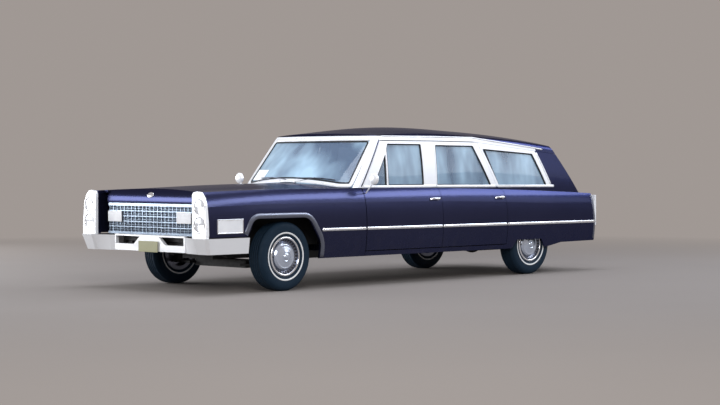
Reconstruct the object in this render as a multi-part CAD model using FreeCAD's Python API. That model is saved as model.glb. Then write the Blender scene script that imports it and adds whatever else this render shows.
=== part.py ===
import FreeCAD, Part
import math
import os

# A full-size American hearse of the middle 1960s on a long commercial chassis.
# Millimetres. +X is forward, +Y is the car's left, +Z is up. The origin is on the
# ground, in the middle of the overall length and width.

# ---------------------------------------------------------------- driving sizes
overall_length = 6334.0
wheelbase = 3962.0
front_overhang = 1126.0
front_axle_x = overall_length / 2 - front_overhang
rear_axle_x = front_axle_x - wheelbase
tyre_radius = 352.0
tyre_width = 205.0
track = 1680.0
front_wheel_y = track / 2
rear_wheel_y = front_wheel_y - 25
panel_gap = 6.0

# Body shell: thickness of the whole door or wall, and of a plain panel
door_wall = 70.0
panel_wall = 25.0
window_wall = 45.0

# Body side, heights that hold along its length
sill_z = 317.0
widest_z = 600.0
shoulder_drop = 145.0
sill_tuck = 34.0
shoulder_tuck = 20.0
shoulder_crown = 9.0

# x, half width at the widest, crease y, crease z
SIDE_STATIONS = [
    (-3130, 948, 872, 940),
    (-2500, 972, 890, 966),
    (-1500, 988, 903, 1000),
    (0, 992, 907, 1030),
    (1500, 992, 907, 1036),
    (2500, 990, 903, 1030),
    (3110, 986, 892, 1014),
]

# Greenhouse: x, base y, drip y, drip z, roof corner y, roof corner z, roof top z
greenhouse_base_z = 925.0
glass_bulge = 14.0
GREENHOUSE_STATIONS = [
    (1150, 896, 814, 1552, 774, 1570, 1580),
    (560, 900, 803, 1573, 763, 1606, 1644),
    (0, 900, 801, 1575, 760, 1630, 1702),
    (-1000, 900, 801, 1570, 760, 1614, 1697),
    (-2000, 888, 787, 1484, 745, 1556, 1640),
    (-2600, 868, 768, 1414, 724, 1500, 1580),
    (-3100, 850, 750, 1360, 706, 1452, 1530),
]


# ---------------------------------------------------------------- helpers
def vec(x, y, z):
    return FreeCAD.Vector(x, y, z)


def box(x0, x1, y0, y1, z0, z1):
    return Part.makeBox(x1 - x0, y1 - y0, z1 - z0, vec(x0, y0, z0))


def line(a, b):
    return Part.LineSegment(a, b).toShape()


def arc(a, b, c):
    return Part.Arc(a, b, c).toShape()


def polygon_face(points):
    return Part.Face(Part.makePolygon(points + [points[0]]))


def side_prism(outline, y0, y1):
    """An outline of (x, z) points, extruded across the car."""
    return polygon_face([vec(x, y0, z) for x, z in outline]).extrude(vec(0, y1 - y0, 0))


def plan_prism(outline, z0, z1):
    """An outline of (x, y) points, extruded upwards."""
    return polygon_face([vec(x, y, z0) for x, y in outline]).extrude(vec(0, 0, z1 - z0))


def end_prism(outline, x0, x1):
    """An outline of (y, z) points, extruded along the car."""
    return polygon_face([vec(x0, y, z) for y, z in outline]).extrude(vec(x1 - x0, 0, 0))


def rounded_side_prism(outline, y0, y1, radius):
    """A side prism whose corners, seen from the side, are rounded."""
    solid = side_prism(outline, y0, y1)
    across = [e for e in solid.Edges if abs(e.tangentAt(e.FirstParameter).y) > 0.99]
    return solid.makeFillet(radius, across)


def cylinder_y(x, z, radius, y0, y1):
    return Part.makeCylinder(radius, y1 - y0, vec(x, y0, z), vec(0, 1, 0))


def tube_between(a, b, radius):
    return Part.makeCylinder(radius, (b - a).Length, a, b - a)


def facet_ring(profile, x, z, sides):
    """A closed (radius, y) profile turned about an axle, in flat facets."""
    rings = []
    for n in range(sides):
        angle = 2 * math.pi * (n + 0.5) / sides
        rings.append([vec(x + r * math.cos(angle), y, z + r * math.sin(angle)) for r, y in profile])
    faces = []
    size = len(profile)
    for n in range(sides):
        m = (n + 1) % sides
        for k in range(size):
            j = (k + 1) % size
            faces.append(polygon_face([rings[n][k], rings[n][j], rings[m][j], rings[m][k]]))
    solid = Part.makeSolid(Part.makeShell(faces))
    if solid.Volume < 0:
        solid.reverse()
    return solid


def loft(wires, ruled=False):
    return Part.makeLoft(wires, True, ruled)


def mirrored(shape):
    return shape.mirror(vec(0, 0, 0), vec(0, 1, 0))


def fuse(shapes):
    whole = shapes[0]
    if len(shapes) > 1:
        whole = whole.multiFuse(shapes[1:])
    return whole


def both_sides(shape):
    """A left-hand solid and its right-hand twin, which do not touch."""
    return Part.makeCompound(shape.Solids + mirrored(shape).Solids)


def write(name, shape):
    solids = shape.Solids
    if not solids or not all(s.isValid() and s.Volume > 0 for s in solids):
        print("BAD", name, len(solids), [s.isValid() for s in solids], [round(s.Volume) for s in solids])
    kept = solids[0] if len(solids) == 1 else Part.makeCompound(solids)
    kept.exportStep(os.path.join("parts", name + ".step"))
    b = kept.BoundBox
    print(
        "%-26s solids %2d faces %4d x %6.0f %6.0f y %6.0f %6.0f z %6.0f %6.0f"
        % (name, len(solids), len(kept.Faces), b.XMin, b.XMax, b.YMin, b.YMax, b.ZMin, b.ZMax)
    )


def write_pair(name, shape):
    """A left-hand piece and its mirror image, each in a node of its own."""
    write(name + "_left", shape)
    write(name + "_right", mirrored(shape))


# ---------------------------------------------------------------- body side band
def side_wire(x, half_width, crease_y, crease_z, outer, inner):
    """One closed section of the left body side, between two depths from its skin."""
    shoulder_z = crease_z - shoulder_drop

    def skin(depth):
        sill = vec(x, half_width - sill_tuck - depth, sill_z)
        widest = vec(x, half_width - depth, widest_z)
        shoulder = vec(x, half_width - shoulder_tuck - depth, shoulder_z)
        crease = vec(x, crease_y - depth, crease_z)
        crown = (shoulder + crease) * 0.5 + vec(0, shoulder_crown, shoulder_crown * 0.5)
        return sill, widest, shoulder, crown, crease

    sill, widest, shoulder, crown, crease = skin(outer)
    sill2, widest2, shoulder2, crown2, crease2 = skin(inner)
    return Part.Wire(
        [
            arc(sill, widest, shoulder),
            arc(shoulder, crown, crease),
            line(crease, crease2),
            arc(crease2, crown2, shoulder2),
            arc(shoulder2, widest2, sill2),
            line(sill2, sill),
        ]
    )


def side_band(outer, inner):
    return loft([side_wire(*row, outer, inner) for row in SIDE_STATIONS])


# ---------------------------------------------------------------- greenhouse shell
def greenhouse_wire(x, base_y, drip_y, drip_z, corner_y, corner_z, top_z, depth):
    """One closed section across the cabin above the belt, at a depth from its skin."""
    base_z = greenhouse_base_z - depth
    base_y = base_y - depth
    drip_y = drip_y - depth
    drip_z = drip_z - depth * 0.4
    corner_y = corner_y - depth * 0.7
    corner_z = corner_z - depth * 0.85
    top_z = top_z - depth * 0.9
    middle_y = (base_y + drip_y) / 2 + glass_bulge
    middle_z = (base_z + drip_z) / 2
    round_y = (drip_y + corner_y) / 2 + 7
    round_z = (drip_z + corner_z) / 2 + 5

    def at(y, z):
        return vec(x, y, z)

    return Part.Wire(
        [
            line(at(-base_y, base_z), at(base_y, base_z)),
            arc(at(base_y, base_z), at(middle_y, middle_z), at(drip_y, drip_z)),
            arc(at(drip_y, drip_z), at(round_y, round_z), at(corner_y, corner_z)),
            arc(at(corner_y, corner_z), at(0, top_z), at(-corner_y, corner_z)),
            arc(at(-corner_y, corner_z), at(-round_y, round_z), at(-drip_y, drip_z)),
            arc(at(-drip_y, drip_z), at(-middle_y, middle_z), at(-base_y, base_z)),
        ]
    )


def greenhouse(depth):
    return loft([greenhouse_wire(*row, depth) for row in GREENHOUSE_STATIONS])


# Windshield surface: height, centre x, edge x, edge y
WINDSHIELD_LEVELS = [
    (900.0, 1341.0, 1049.0, 901.0),
    (1720.0, 602.0, 463.0, 781.0),
]
windshield_thickness = 8.0


def windshield_solid(set_back, front_x):
    """What lies ahead of the windshield's surface, moved back by set_back."""
    wires = []
    for z, centre_x, edge_x, edge_y in WINDSHIELD_LEVELS:
        left = vec(edge_x - set_back, edge_y + 200, z)
        right = vec(edge_x - set_back, -edge_y - 200, z)
        # the same curve is carried on past the pillars
        reach = (edge_y + 200) / edge_y
        centre_offset = (centre_x - edge_x) * reach * reach
        left.x = centre_x - centre_offset - set_back
        right.x = left.x
        wires.append(
            Part.Wire(
                [
                    arc(right, vec(centre_x - set_back, 0, z), left),
                    line(left, vec(front_x, left.y, z)),
                    line(vec(front_x, left.y, z), vec(front_x, right.y, z)),
                    line(vec(front_x, right.y, z), right),
                ]
            )
        )
    return loft(wires, True)


os.makedirs("parts", exist_ok=True)

# Tail: the sloping rear face of the greenhouse, then the steeper face down to the bumper
tail_base_x = -2919.0
tail_base_z = 951.0
tail_slope = 0.759
tail_foot_x = -3040.0
tail_foot_z = 560.0
tail_wall = 60.0


def tail_x(z):
    """The sloping tail's outer surface at a height."""
    return tail_base_x + (z - tail_base_z) * tail_slope


def foot_x(z):
    """The steeper lower tail's outer surface at a height."""
    return tail_base_x + (tail_base_z - z) * (tail_foot_x - tail_base_x) / (tail_base_z - tail_foot_z)


def behind_tail(set_forward):
    """What lies behind the sloping tail surface, moved forward by set_forward."""
    low, high = 860.0, 1760.0
    return side_prism(
        [
            (tail_x(low) + set_forward, low),
            (tail_x(high) + set_forward, high),
            (-3600, high),
            (-3600, low),
        ],
        -1200,
        1200,
    )


left_half = box(-3600, 3600, 0, 1300, 0, 2000)

cabin_outer = greenhouse(0).cut(behind_tail(0))
cabin_outer = cabin_outer.cut(windshield_solid(0, 2200))
cabin_inner = greenhouse(window_wall).cut(behind_tail(tail_wall))
cabin_shell = cabin_outer.cut(cabin_inner)
print("cabin shell", cabin_shell.isValid(), len(cabin_shell.Solids), cabin_shell.Volume / 1e9)
door_band = side_band(0, door_wall)
print("door band", door_band.isValid(), door_band.Volume / 1e9)
# Side windows, seen from the side, and the door seams
def skin_y(z):
    """Roughly where the left body side's surface is at a height."""
    if z < 900:
        return 980.0
    return 905.0 - 0.2 * (z - 1000.0)


# Seams: x, z, and how far the edge is bevelled (forward for each unit inward)
FRONT_DOOR_FRONT = [(915, 372, 0), (915, 880, 0), (915, 1004, 0), (883, 1044, 0), (532, 1546, 0)]
DOOR_SEAM = [(-296, 372, 0.22), (-296, 880, 0.22), (-296, 1030, 0.22), (-320, 1549, 0.22)]
REAR_DOOR_REAR = [(-1413, 372, 0.22), (-1413, 880, 0.22), (-1413, 992, 0.22), (-1330, 1046, 0.33), (-1072, 1544, 0.33)]
door_bottom = 372.0


def seam_solid(front, rear, grow):
    """What lies between two seams, with bevelled edges, made larger by grow at each."""
    wires = []
    for y in (1120.0, 600.0):
        points = []
        for sign, seam in ((1, front), (-1, list(reversed(rear)))):
            for n, (x, z, bevel) in enumerate(seam):
                at_end = n == 0 if sign > 0 else n == len(seam) - 1
                at_top = n == len(seam) - 1 if sign > 0 else n == 0
                height = z
                if at_end:
                    height -= grow
                if at_top:
                    height += grow
                points.append(vec(x + sign * grow + bevel * (skin_y(z) - y), y, height))
        wires.append(Part.makePolygon(points + [points[0]]))
    return loft(wires, True)


half_gap = panel_gap / 2
front_door_cut = seam_solid(FRONT_DOOR_FRONT, DOOR_SEAM, -half_gap)
rear_door_cut = seam_solid(DOOR_SEAM, REAR_DOOR_REAR, -half_gap)
door_opening = seam_solid(FRONT_DOOR_FRONT, REAR_DOOR_REAR, half_gap)

VENT_WINDOW = [(716, 1057), (500, 1057), (474, 1410), (470, 1422)]
FRONT_WINDOW = [(478, 1057), (-95, 1057), (-115, 1515), (425, 1515), (452, 1460)]
REAR_WINDOW = [(-296, 1056), (-1246, 1042), (-990, 1503), (-334, 1507)]
QUARTER_WINDOW = [(-1382, 1034), (-2290, 1034), (-2088, 1418), (-1145, 1470)]

front_windows = rounded_side_prism(VENT_WINDOW[:3], 600, 1100, 6).fuse(
    rounded_side_prism(FRONT_WINDOW, 600, 1100, 18)
)
rear_window = rounded_side_prism(
    [(-296 - 12, 1056), (-1246, 1042), (-990, 1503), (-345, 1507)], 600, 1100, 18
)
quarter_window = rounded_side_prism(QUARTER_WINDOW, 600, 1100, 18)

# ---------------------------------------------------------------- doors
lower_wall = door_band
half_shell = cabin_shell.common(left_half)
upper_wall = half_shell.common(box(-3400, 1100, 0, 1200, 925, 1700))
side_wall = lower_wall.fuse(upper_wall)

front_door = side_wall.common(front_door_cut).cut(front_windows)
rear_door = side_wall.common(rear_door_cut).cut(rear_window)
write_pair("front_door", front_door)
write_pair("rear_door", rear_door)

glass_outer = 16.0
glass_inner = 21.0
glass_shell = greenhouse(glass_outer).cut(greenhouse(glass_inner)).common(left_half)
glass_shell = glass_shell.common(box(-2800, 1100, 0, 1200, 1000, 1560))


write_pair("front_door_glass", glass_shell.common(front_windows))
write_pair("rear_door_glass", glass_shell.common(rear_window))
write("quarter_glass", both_sides(glass_shell.common(quarter_window)))

# ---------------------------------------------------------------- body sides
rear_arch = rounded_side_prism(
    [(-1480, 250), (-1600, 415), (-2060, 415), (-2190, 250)], 700, 1100, 30
)
rear_wheel_pocket = side_band(14, 300).common(
    box(rear_axle_x - 430, rear_axle_x + 430, 500, 1100, 200, 790)
)
tyre_clearance = 6.0
rear_wheel_pocket = rear_wheel_pocket.fuse(
    cylinder_y(
        rear_axle_x,
        tyre_radius,
        tyre_radius + tyre_clearance,
        rear_wheel_y - tyre_width / 2 - tyre_clearance,
        rear_wheel_y + tyre_width / 2 + tyre_clearance,
    )
)
tail_lift = side_prism([(-2454, 362), (-3300, 366), (-3300, 200), (-2186, 200), (-2186, 317)], 500, 1200)
quarter = lower_wall.common(box(-3200, -1380, 0, 1200, 300, 1100)).fuse(
    upper_wall.common(box(-2960, -1060, 0, 1200, 925, 1700))
)
sill = lower_wall.common(box(-1500, 917, 0, 1200, 300, 366))
quarter = quarter.fuse(sill)
pillar_low = side_band(110, 146).common(box(-360, -240, 0, 1200, 364, 918))
pillar_high = greenhouse(62).cut(greenhouse(98)).common(box(-360, -240, 0, 1200, 926, 1549))
pillar_link = box(-360, -240, 794, 852, 896, 918).fuse(box(-360, -240, 794, 820, 896, 930))
center_pillar = fuse([pillar_low, pillar_high.common(left_half), pillar_link])
write("center_pillars", both_sides(center_pillar))
sill_inner = box(-1413, 915, 800, 925, 318, 362)
drip_split_low = 1549.0
tail_door_half = 640.0
tail_door_bottom = 612.0
tail_door_top = 1428.0
tail_bevel = 0.45

# Everything above the drip moulding is the roof
ROOF_SPLIT = [(1100, 1549), (-318, 1552), (-1000, 1548), (-2000, 1462), (-3200, 1360)]


def above_split(shift):
    points = [(x, z + shift) for x, z in ROOF_SPLIT]
    return side_prism(points + [(-3200, 2000), (1100, 2000)], -1200, 1200)


def a_pillar_line(set_back):
    """What is ahead of the line behind the windshield pillars."""
    return side_prism(
        [(980 - set_back, 900), (480 - set_back, 1611), (480 - set_back, 1800), (1400, 1800), (1400, 900)],
        -1200,
        1200,
    )


# Tail wall: follows the slope of the greenhouse, then down to the sill of the tail opening
def tail_outline(forward_outer, forward_inner, low, high):
    return [
        (foot_x(low) + forward_outer, low),
        (tail_base_x + forward_outer, tail_base_z),
        (tail_x(high) + forward_outer, high),
        (tail_x(high) + forward_inner, high),
        (tail_base_x + forward_inner, tail_base_z),
        (foot_x(low) + forward_inner, low),
    ]


def tail_door_sides(grow):
    """The plan shape of the tail door, narrower inside along its free (right) edge."""
    left = tail_door_half + grow
    # the free edge's bevel follows the wall: for each unit forward of the skin it moves inward
    outline = tail_outline(-300, 400, tail_door_bottom - grow, tail_door_top + grow)
    whole = side_prism(outline, -1000, left)
    right = -(tail_door_half + grow)
    low = tail_door_bottom - grow - 20
    high = tail_door_top + grow + 20
    cutters = []
    for z0, z1 in ((low, tail_base_z), (tail_base_z, high)):
        section = []
        for z in (z0, z1):
            x = foot_x(z) if z <= tail_base_z else tail_x(z)
            points = [
                vec(x - 350, right - 350 * tail_bevel, z),
                vec(x + 450, right + 450 * tail_bevel, z),
                vec(x + 450, -1300, z),
                vec(x - 350, -1300, z),
            ]
            section.append(Part.makePolygon(points + [points[0]]))
        cutters.append(loft(section, True))
    for cutter in cutters:
        whole = whole.cut(cutter)
    return whole


tail_opening = tail_door_sides(panel_gap)
tail_door_cut = tail_door_sides(0)
lower_tail = side_prism(
    [(foot_x(612), 612), (foot_x(940), 940), (foot_x(940) + tail_wall, 940), (foot_x(612) + tail_wall, 612)], -872, 872
)
tail_full = side_prism(tail_outline(0, tail_wall, tail_door_bottom, tail_door_top), -700, 700)
TAIL_WINDOW = [(-545, 1020), (545, 1020), (520, 1372), (-520, 1372)]
tail_window = end_prism(TAIL_WINDOW, -3300, -2300)
tail_window = tail_window.makeFillet(
    40, [e for e in tail_window.Edges if abs(e.tangentAt(e.FirstParameter).x) > 0.99]
)
tail_door = tail_full.common(tail_door_cut).cut(tail_window)
write("tail_door", tail_door)
tail_glass = side_prism(tail_outline(18, 24, 960, tail_door_top), -700, 700).common(tail_window)
write("tail_glass", tail_glass)

roof_shell = cabin_shell.common(above_split(3)).cut(tail_opening)
roof_shell = roof_shell.common(box(-3300, 1100, -1200, 1200, 1300, 1800)).cut(a_pillar_line(0))
write("roof", roof_shell)

windshield_frame = cabin_shell.common(a_pillar_line(-0.5)).cut(door_opening).cut(mirrored(door_opening))
windshield_frame = windshield_frame.common(box(300, 1200, -1200, 1200, 1040, 1800))
write("windshield_frame", windshield_frame)
windshield_glass = windshield_solid(16, 2200).cut(windshield_solid(8, 2300))
windshield_glass = windshield_glass.common(greenhouse(window_wall + 1)).common(box(300, 1300, -1200, 1200, 1042, 1620))
write("windshield", windshield_glass)

quarter = quarter.cut(door_opening).cut(above_split(0)).cut(quarter_window)
quarter = quarter.cut(rear_arch).cut(rear_wheel_pocket).cut(tail_lift).cut(tail_opening)
quarter = quarter.cut(a_pillar_line(-20))
tail_side = lower_tail.common(left_half).cut(tail_opening).common(box(-3300, -2700, 640, 880, 562, 950))
bumper_recess = side_band(panel_wall, 300).common(box(-3300, -3048, 500, 1200, 300, 556))
body_side = fuse([quarter, sill_inner, tail_side]).cut(bumper_recess)
write_pair("body_side", body_side)

# ---------------------------------------------------------------- hood and cowl
HOOD_STATIONS = [
    (850, 1094, 1046),
    (1184, 1089, 1042),
    (2041, 1076, 1036),
    (2639, 1056, 1026),
    (3080, 1038, 1012),
]
hood_half = 690.0
hood_crease = 430.0
hood_thickness = 22.0


def crown_wire(x, centre_z, edge_z, half, drop):
    crease_z = edge_z + (centre_z - edge_z) * 0.62
    left = [vec(x, half, edge_z - drop), vec(x, hood_crease, crease_z - drop)]
    right = [vec(x, -half, edge_z - drop), vec(x, -hood_crease, crease_z - drop)]
    return Part.Wire(
        [
            line(right[0], right[1]),
            arc(right[1], vec(x, 0, centre_z - drop), left[1]),
            line(left[1], left[0]),
            line(left[0], vec(x, half, 600)),
            line(vec(x, half, 600), vec(x, -half, 600)),
            line(vec(x, -half, 600), right[0]),
        ]
    )


def crown(half, drop):
    return loft([crown_wire(*row, half, drop) for row in HOOD_STATIONS])


def nose(front_x, lower, drop):
    """The side view of the hood's nose."""
    wire = Part.Wire(
        [
            line(vec(800, -900, 560), vec(front_x, -900, 560)),
            line(vec(front_x, -900, 560), vec(front_x, -900, lower)),
            arc(
                vec(front_x, -900, lower),
                vec(front_x - 30, -900, 1004 - drop),
                vec(front_x - 150, -900, 1052 - drop),
            ),
            line(vec(front_x - 150, -900, 1052 - drop), vec(front_x - 150, -900, 1300)),
            line(vec(front_x - 150, -900, 1300), vec(800, -900, 1300)),
            line(vec(800, -900, 1300), vec(800, -900, 560)),
        ]
    )
    return Part.Face(wire).extrude(vec(0, 1800, 0))


def ahead_of_cowl(shift):
    points = [vec(1140 + shift, -700, 500), vec(1300 + shift, 0, 500), vec(1140 + shift, 700, 500)]
    wire = Part.Wire(
        [
            arc(*points),
            line(points[2], vec(3400, 700, 500)),
            line(vec(3400, 700, 500), vec(3400, -700, 500)),
            line(vec(3400, -700, 500), points[0]),
        ]
    )
    return Part.Face(wire).extrude(vec(0, 0, 900))


hood_outer = crown(hood_half, 0).common(nose(3052, 894, 0))
hood_inner = crown(hood_half - hood_thickness, hood_thickness).common(nose(3028, 860, 20))
hood_low = side_prism([(800, 1005), (2850, 985), (2900, 896), (3200, 896), (3200, 1300), (800, 1300)], -900, 900)
hood = hood_outer.cut(hood_inner).common(hood_low).common(ahead_of_cowl(0))
write("hood", hood)

cowl_top = crown(hood_half, 0).cut(crown(hood_half + 50, 28))
cowl_top = cowl_top.cut(ahead_of_cowl(-panel_gap)).cut(box(1300, 3300, -800, 800, 500, 1300))
firewall = box(1190, 1215, -690, 690, 372, 992).cut(box(1180, 1220, -128, 128, 300, 450))
hinge_pillar = box(925, 990, 800, 895, 368, 984)
cowl_side = box(1026, 1215, 680, 690, 396, 992).fuse(box(1026, 1050, 680, 830, 396, 992)).fuse(box(985, 1050, 805, 830, 396, 992))
cowl = fuse([cowl_top, firewall])
behind_glass = box(0, 3400, -1000, 1000, 900, 1400).cut(windshield_solid(-4, 2400))
cowl = cowl.cut(behind_glass.common(box(0, 1400, -1000, 1000, 1030, 1300)))
cowl = fuse([cowl, hinge_pillar, mirrored(hinge_pillar), cowl_side, mirrored(cowl_side)])
write("cowl", cowl)

# ---------------------------------------------------------------- fenders
fender_rear_x = 921.0
fender_front_x = 3108.0


def fender_wire(x, half_width, crease_y, crease_z, depth, inner_y, low_z):
    shoulder_z = crease_z - shoulder_drop
    sill = vec(x, half_width - sill_tuck - depth, sill_z)
    widest = vec(x, half_width - depth, widest_z)
    shoulder = vec(x, half_width - shoulder_tuck - depth, shoulder_z)
    crease = vec(x, crease_y - depth, crease_z - depth)
    crown_point = (shoulder + crease) * 0.5 + vec(0, shoulder_crown, shoulder_crown * 0.5)
    edge = vec(x, inner_y, crease_z - depth + 4)
    foot = vec(x, inner_y, low_z)
    start = vec(x, sill.y, low_z) if low_z < sill_z else sill
    edges = [arc(sill, widest, shoulder), arc(shoulder, crown_point, crease), line(crease, edge), line(edge, foot)]
    edges.append(line(foot, start))
    if low_z < sill_z:
        edges.append(line(start, sill))
    return Part.Wire(edges)


FENDER_STATIONS = [
    (850, 992, 907, 1033),
    (1500, 992, 907, 1036),
    (2500, 990, 903, 1030),
    (3108, 986, 892, 1014),
]
fender_outer = loft([fender_wire(*row, 0, hood_half + 8, sill_z) for row in FENDER_STATIONS])
fender_inner = loft([fender_wire(*row, panel_wall, 640, 250) for row in FENDER_STATIONS])
front_arch = rounded_side_prism(
    [(1588, 100), (1588, 480), (1768, 744), (2512, 744), (2618, 530), (2618, 100)],
    800,
    1100,
    95,
)
fender = fender_outer.cut(fender_inner.common(box(800, fender_front_x - 30, 500, 1100, 200, 1100)))
fender = fender.common(box(fender_rear_x, 3200, 500, 1100, 300, 1100)).cut(front_arch)
fender = fender.cut(box(3046, 3200, 600, 772, 200, 1200))
fender_front_wall = box(3078, fender_front_x, 772, 800, 580, 990)
fender_side = box(2960, fender_front_x, 772, 796, 580, 992)
fender_low_cut = box(2560, 3200, 500, 1100, 200, 572)
cornering = box(2671, 3002, 978, 994, 609, 744)
fender = fender.fuse(fender_side).cut(fender_low_cut).cut(box(2671, 3002, 978, 1100, 609, 744))
write_pair("fender", fender)

# ---------------------------------------------------------------- front end
grille_bars = [box(3020, 3056, -672, 672, 864, 892), box(3020, 3056, -672, 672, 576, 600)]
grille_bars += [box(3024, 3050, -672, 672, z, z + 10) for z in (646, 700, 754, 808)]
grille_bars += [box(3024, 3046, y - 5, y + 5, 600, 864) for y in range(-660, 661, 60)]
grille_bars += [box(3000, 3028, -690, 690, 580, 604)]
write("grille", fuse(grille_bars))

BEZEL = [
    (778, 562), (778, 985), (796, 1012), (850, 1021), (893, 1015), (938, 965), (968, 890), (988, 720), (992, 600), (988, 562),
]
bezel = end_prism(BEZEL, 3109, 3144)
lamps = []
for z in (700, 872):
    bezel = bezel.cut(Part.makeCylinder(80, 60, vec(3100, 884, z), vec(1, 0, 0)))
    lamps.append(Part.makeCylinder(78, 22, vec(3110, 884, z), vec(1, 0, 0)))
write("headlamp_bezels", both_sides(bezel))
write("headlamps", Part.makeCompound(lamps + [mirrored(s) for s in lamps]))
turn_lamp = box(3057, 3066, 446, 664, 700, 808)
write("turn_lamps", both_sides(turn_lamp))
write("cornering_lamps", both_sides(cornering))

def skewed_prism(low_outline, low_z, high_outline, high_z):
    """Two plan outlines with as many corners each, joined by flat sides."""
    wires = []
    for outline, z in ((low_outline, low_z), (high_outline, high_z)):
        points = [vec(x, y, z) for x, y in outline]
        wires.append(Part.makePolygon(points + [points[0]]))
    return loft(wires, True)


bumper_end = skewed_prism(
    [
        (3030, 545), (3062, 620), (3096, 800), (3112, 824), (3108, 958), (3084, 984),
        (2590, 984), (2590, 972), (3050, 966), (3056, 850), (3016, 545),
    ],
    404,
    [
        (3046, 545), (3078, 620), (3144, 800), (3167, 826), (3162, 985), (3130, 1009),
        (2590, 1004), (2590, 992), (3066, 993), (3084, 850), (3022, 545),
    ],
    561,
)
bumper_middle = box(3022, 3058, -560, 560, 409, 572)
air_slot = end_prism([(150, 556), (543, 556), (543, 476), (252, 476)], 3000, 3100)
bumper_middle = bumper_middle.cut(air_slot).cut(mirrored(air_slot))
front_bumper = fuse([bumper_end, mirrored(bumper_end), bumper_middle])
write("front_bumper", front_bumper)

rear_bumper = skewed_prism(
    [
        (-3084, 0), (-3100, 640), (-3132, 800), (-3134, 864), (-3100, 874),
        (-3064, 874), (-3066, 850), (-3090, 820), (-3056, 640), (-3052, 0),
    ],
    372,
    [
        (-3096, 0), (-3114, 640), (-3156, 800), (-3167, 880), (-3140, 893),
        (-3104, 893), (-3104, 868), (-3120, 820), (-3074, 640), (-3062, 0),
    ],
    542,
)
write("rear_bumper", fuse([rear_bumper, mirrored(rear_bumper)]))
tail_lamp = box(-3152, -3131, 882, 936, 560, 908)
write("tail_lamps", both_sides(tail_lamp))
tail_sill = side_prism(
    [
        (foot_x(606), 606), (foot_x(552), 552), (-3045, 548), (-3045, 420),
        (-3020, 420), (-3020, 570), (foot_x(606) + tail_wall, 606),
    ],
    -860,
    860,
)
write("tail_sill", tail_sill)

# ---------------------------------------------------------------- chassis
rail = side_prism(
    [
        (2960, 410), (2500, 410), (2400, 330), (1700, 330), (1500, 290), (-1200, 290),
        (-1560, 440), (-2900, 440), (-2900, 540), (-1500, 540), (-1140, 371), (1480, 371),
        (1700, 430), (2340, 430), (2440, 500), (2960, 500),
    ],
    400,
    460,
)
cross_members = [box(x - 40, x + 40, -410, 410, z, z + tall) for x, z, tall in ((2900, 415, 80), (1370, 292, 48), (0, 290, 48), (-1150, 290, 34), (-2750, 450, 80))]
write("frame", fuse([rail, mirrored(rail)] + cross_members))

floor = box(-1130, 1189, -799, 799, 372, 395)
tunnel = box(-1130, 1189, -150, 150, 395, 472)
tunnel_hollow = box(-1500, 1300, -128, 128, 300, 450)
write("floor", fuse([floor, tunnel]).cut(tunnel_hollow))

deck_z = 640.0
ledge_z = 740.0
deck = box(-2880, -430, -700, 700, deck_z - 40, deck_z)
ledge = box(-2880, -430, 680, 700, deck_z - 40, ledge_z).fuse(box(-2880, -430, 680, 850, ledge_z - 18, ledge_z))
deck = fuse([deck, ledge, mirrored(ledge)])
deck_front = box(-470, -430, -700, 700, 395, deck_z - 40).cut(box(-500, -400, -151, 151, 300, 473))
pin_holes = []
pin_hole_radius = 11.0
for x in (-1000, -1400, -1800, -2200):
    for y in (-250, 250):
        deck = deck.cut(Part.makeCylinder(pin_hole_radius, 60, vec(x, y, deck_z - 50), vec(0, 0, 1)))
write("casket_deck", deck.fuse(deck_front))
roller_radius = 22.0
rollers = [cylinder_y(x, deck_z + roller_radius + 2, roller_radius, -230, 230) for x in (-700, -1200, -1600, -2000, -2400, -2800)]
write("deck_rollers", Part.makeCompound(rollers))

engine = box(1420, 2420, -240, 240, 310, 900)
write("engine", engine)
apron = box(1216, 2960, 520, 545, 440, 985).cut(box(front_axle_x - 110, front_axle_x + 110, 500, 560, 420, 480))
radiator = box(2935, 2960, -520, 520, 505, 885)
write("engine_bay_panels", fuse([apron, mirrored(apron), radiator]))

for name, x, wheel_y in (("front", front_axle_x, front_wheel_y), ("rear", rear_axle_x, rear_wheel_y)):
    profile = [
        vec(x + 204, wheel_y - 84, tyre_radius),
        vec(x + 258, wheel_y - tyre_width / 2, tyre_radius),
        vec(x + 318, wheel_y - tyre_width / 2 + 2, tyre_radius),
        vec(x + 345, wheel_y - 84, tyre_radius),
        vec(x + tyre_radius, wheel_y - 66, tyre_radius),
        vec(x + tyre_radius, wheel_y + 66, tyre_radius),
        vec(x + 345, wheel_y + 84, tyre_radius),
        vec(x + 318, wheel_y + tyre_width / 2 - 2, tyre_radius),
        vec(x + 258, wheel_y + tyre_width / 2, tyre_radius),
        vec(x + 204, wheel_y + 84, tyre_radius),
    ]
    tyre = facet_ring([(p.x - x, p.y) for p in profile], x, tyre_radius, 56)
    rim_profile = [
        vec(x, wheel_y - 20, tyre_radius),
        vec(x + 150, wheel_y - 20, tyre_radius),
        vec(x + 164, wheel_y - 90, tyre_radius),
        vec(x + 202, wheel_y - 90, tyre_radius),
        vec(x + 202, wheel_y + 82, tyre_radius),
        vec(x + 184, wheel_y + 90, tyre_radius),
        vec(x + 140, wheel_y + 60, tyre_radius),
        vec(x + 126, wheel_y + 84, tyre_radius),
        vec(x + 60, wheel_y + 100, tyre_radius),
        vec(x, wheel_y + 104, tyre_radius),
    ]
    rim = polygon_face(rim_profile).revolve(vec(x, 0, tyre_radius), vec(0, 1, 0), 360)
    write_pair(name + "_tyre", tyre)
    write_pair(name + "_wheel", rim)

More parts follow.
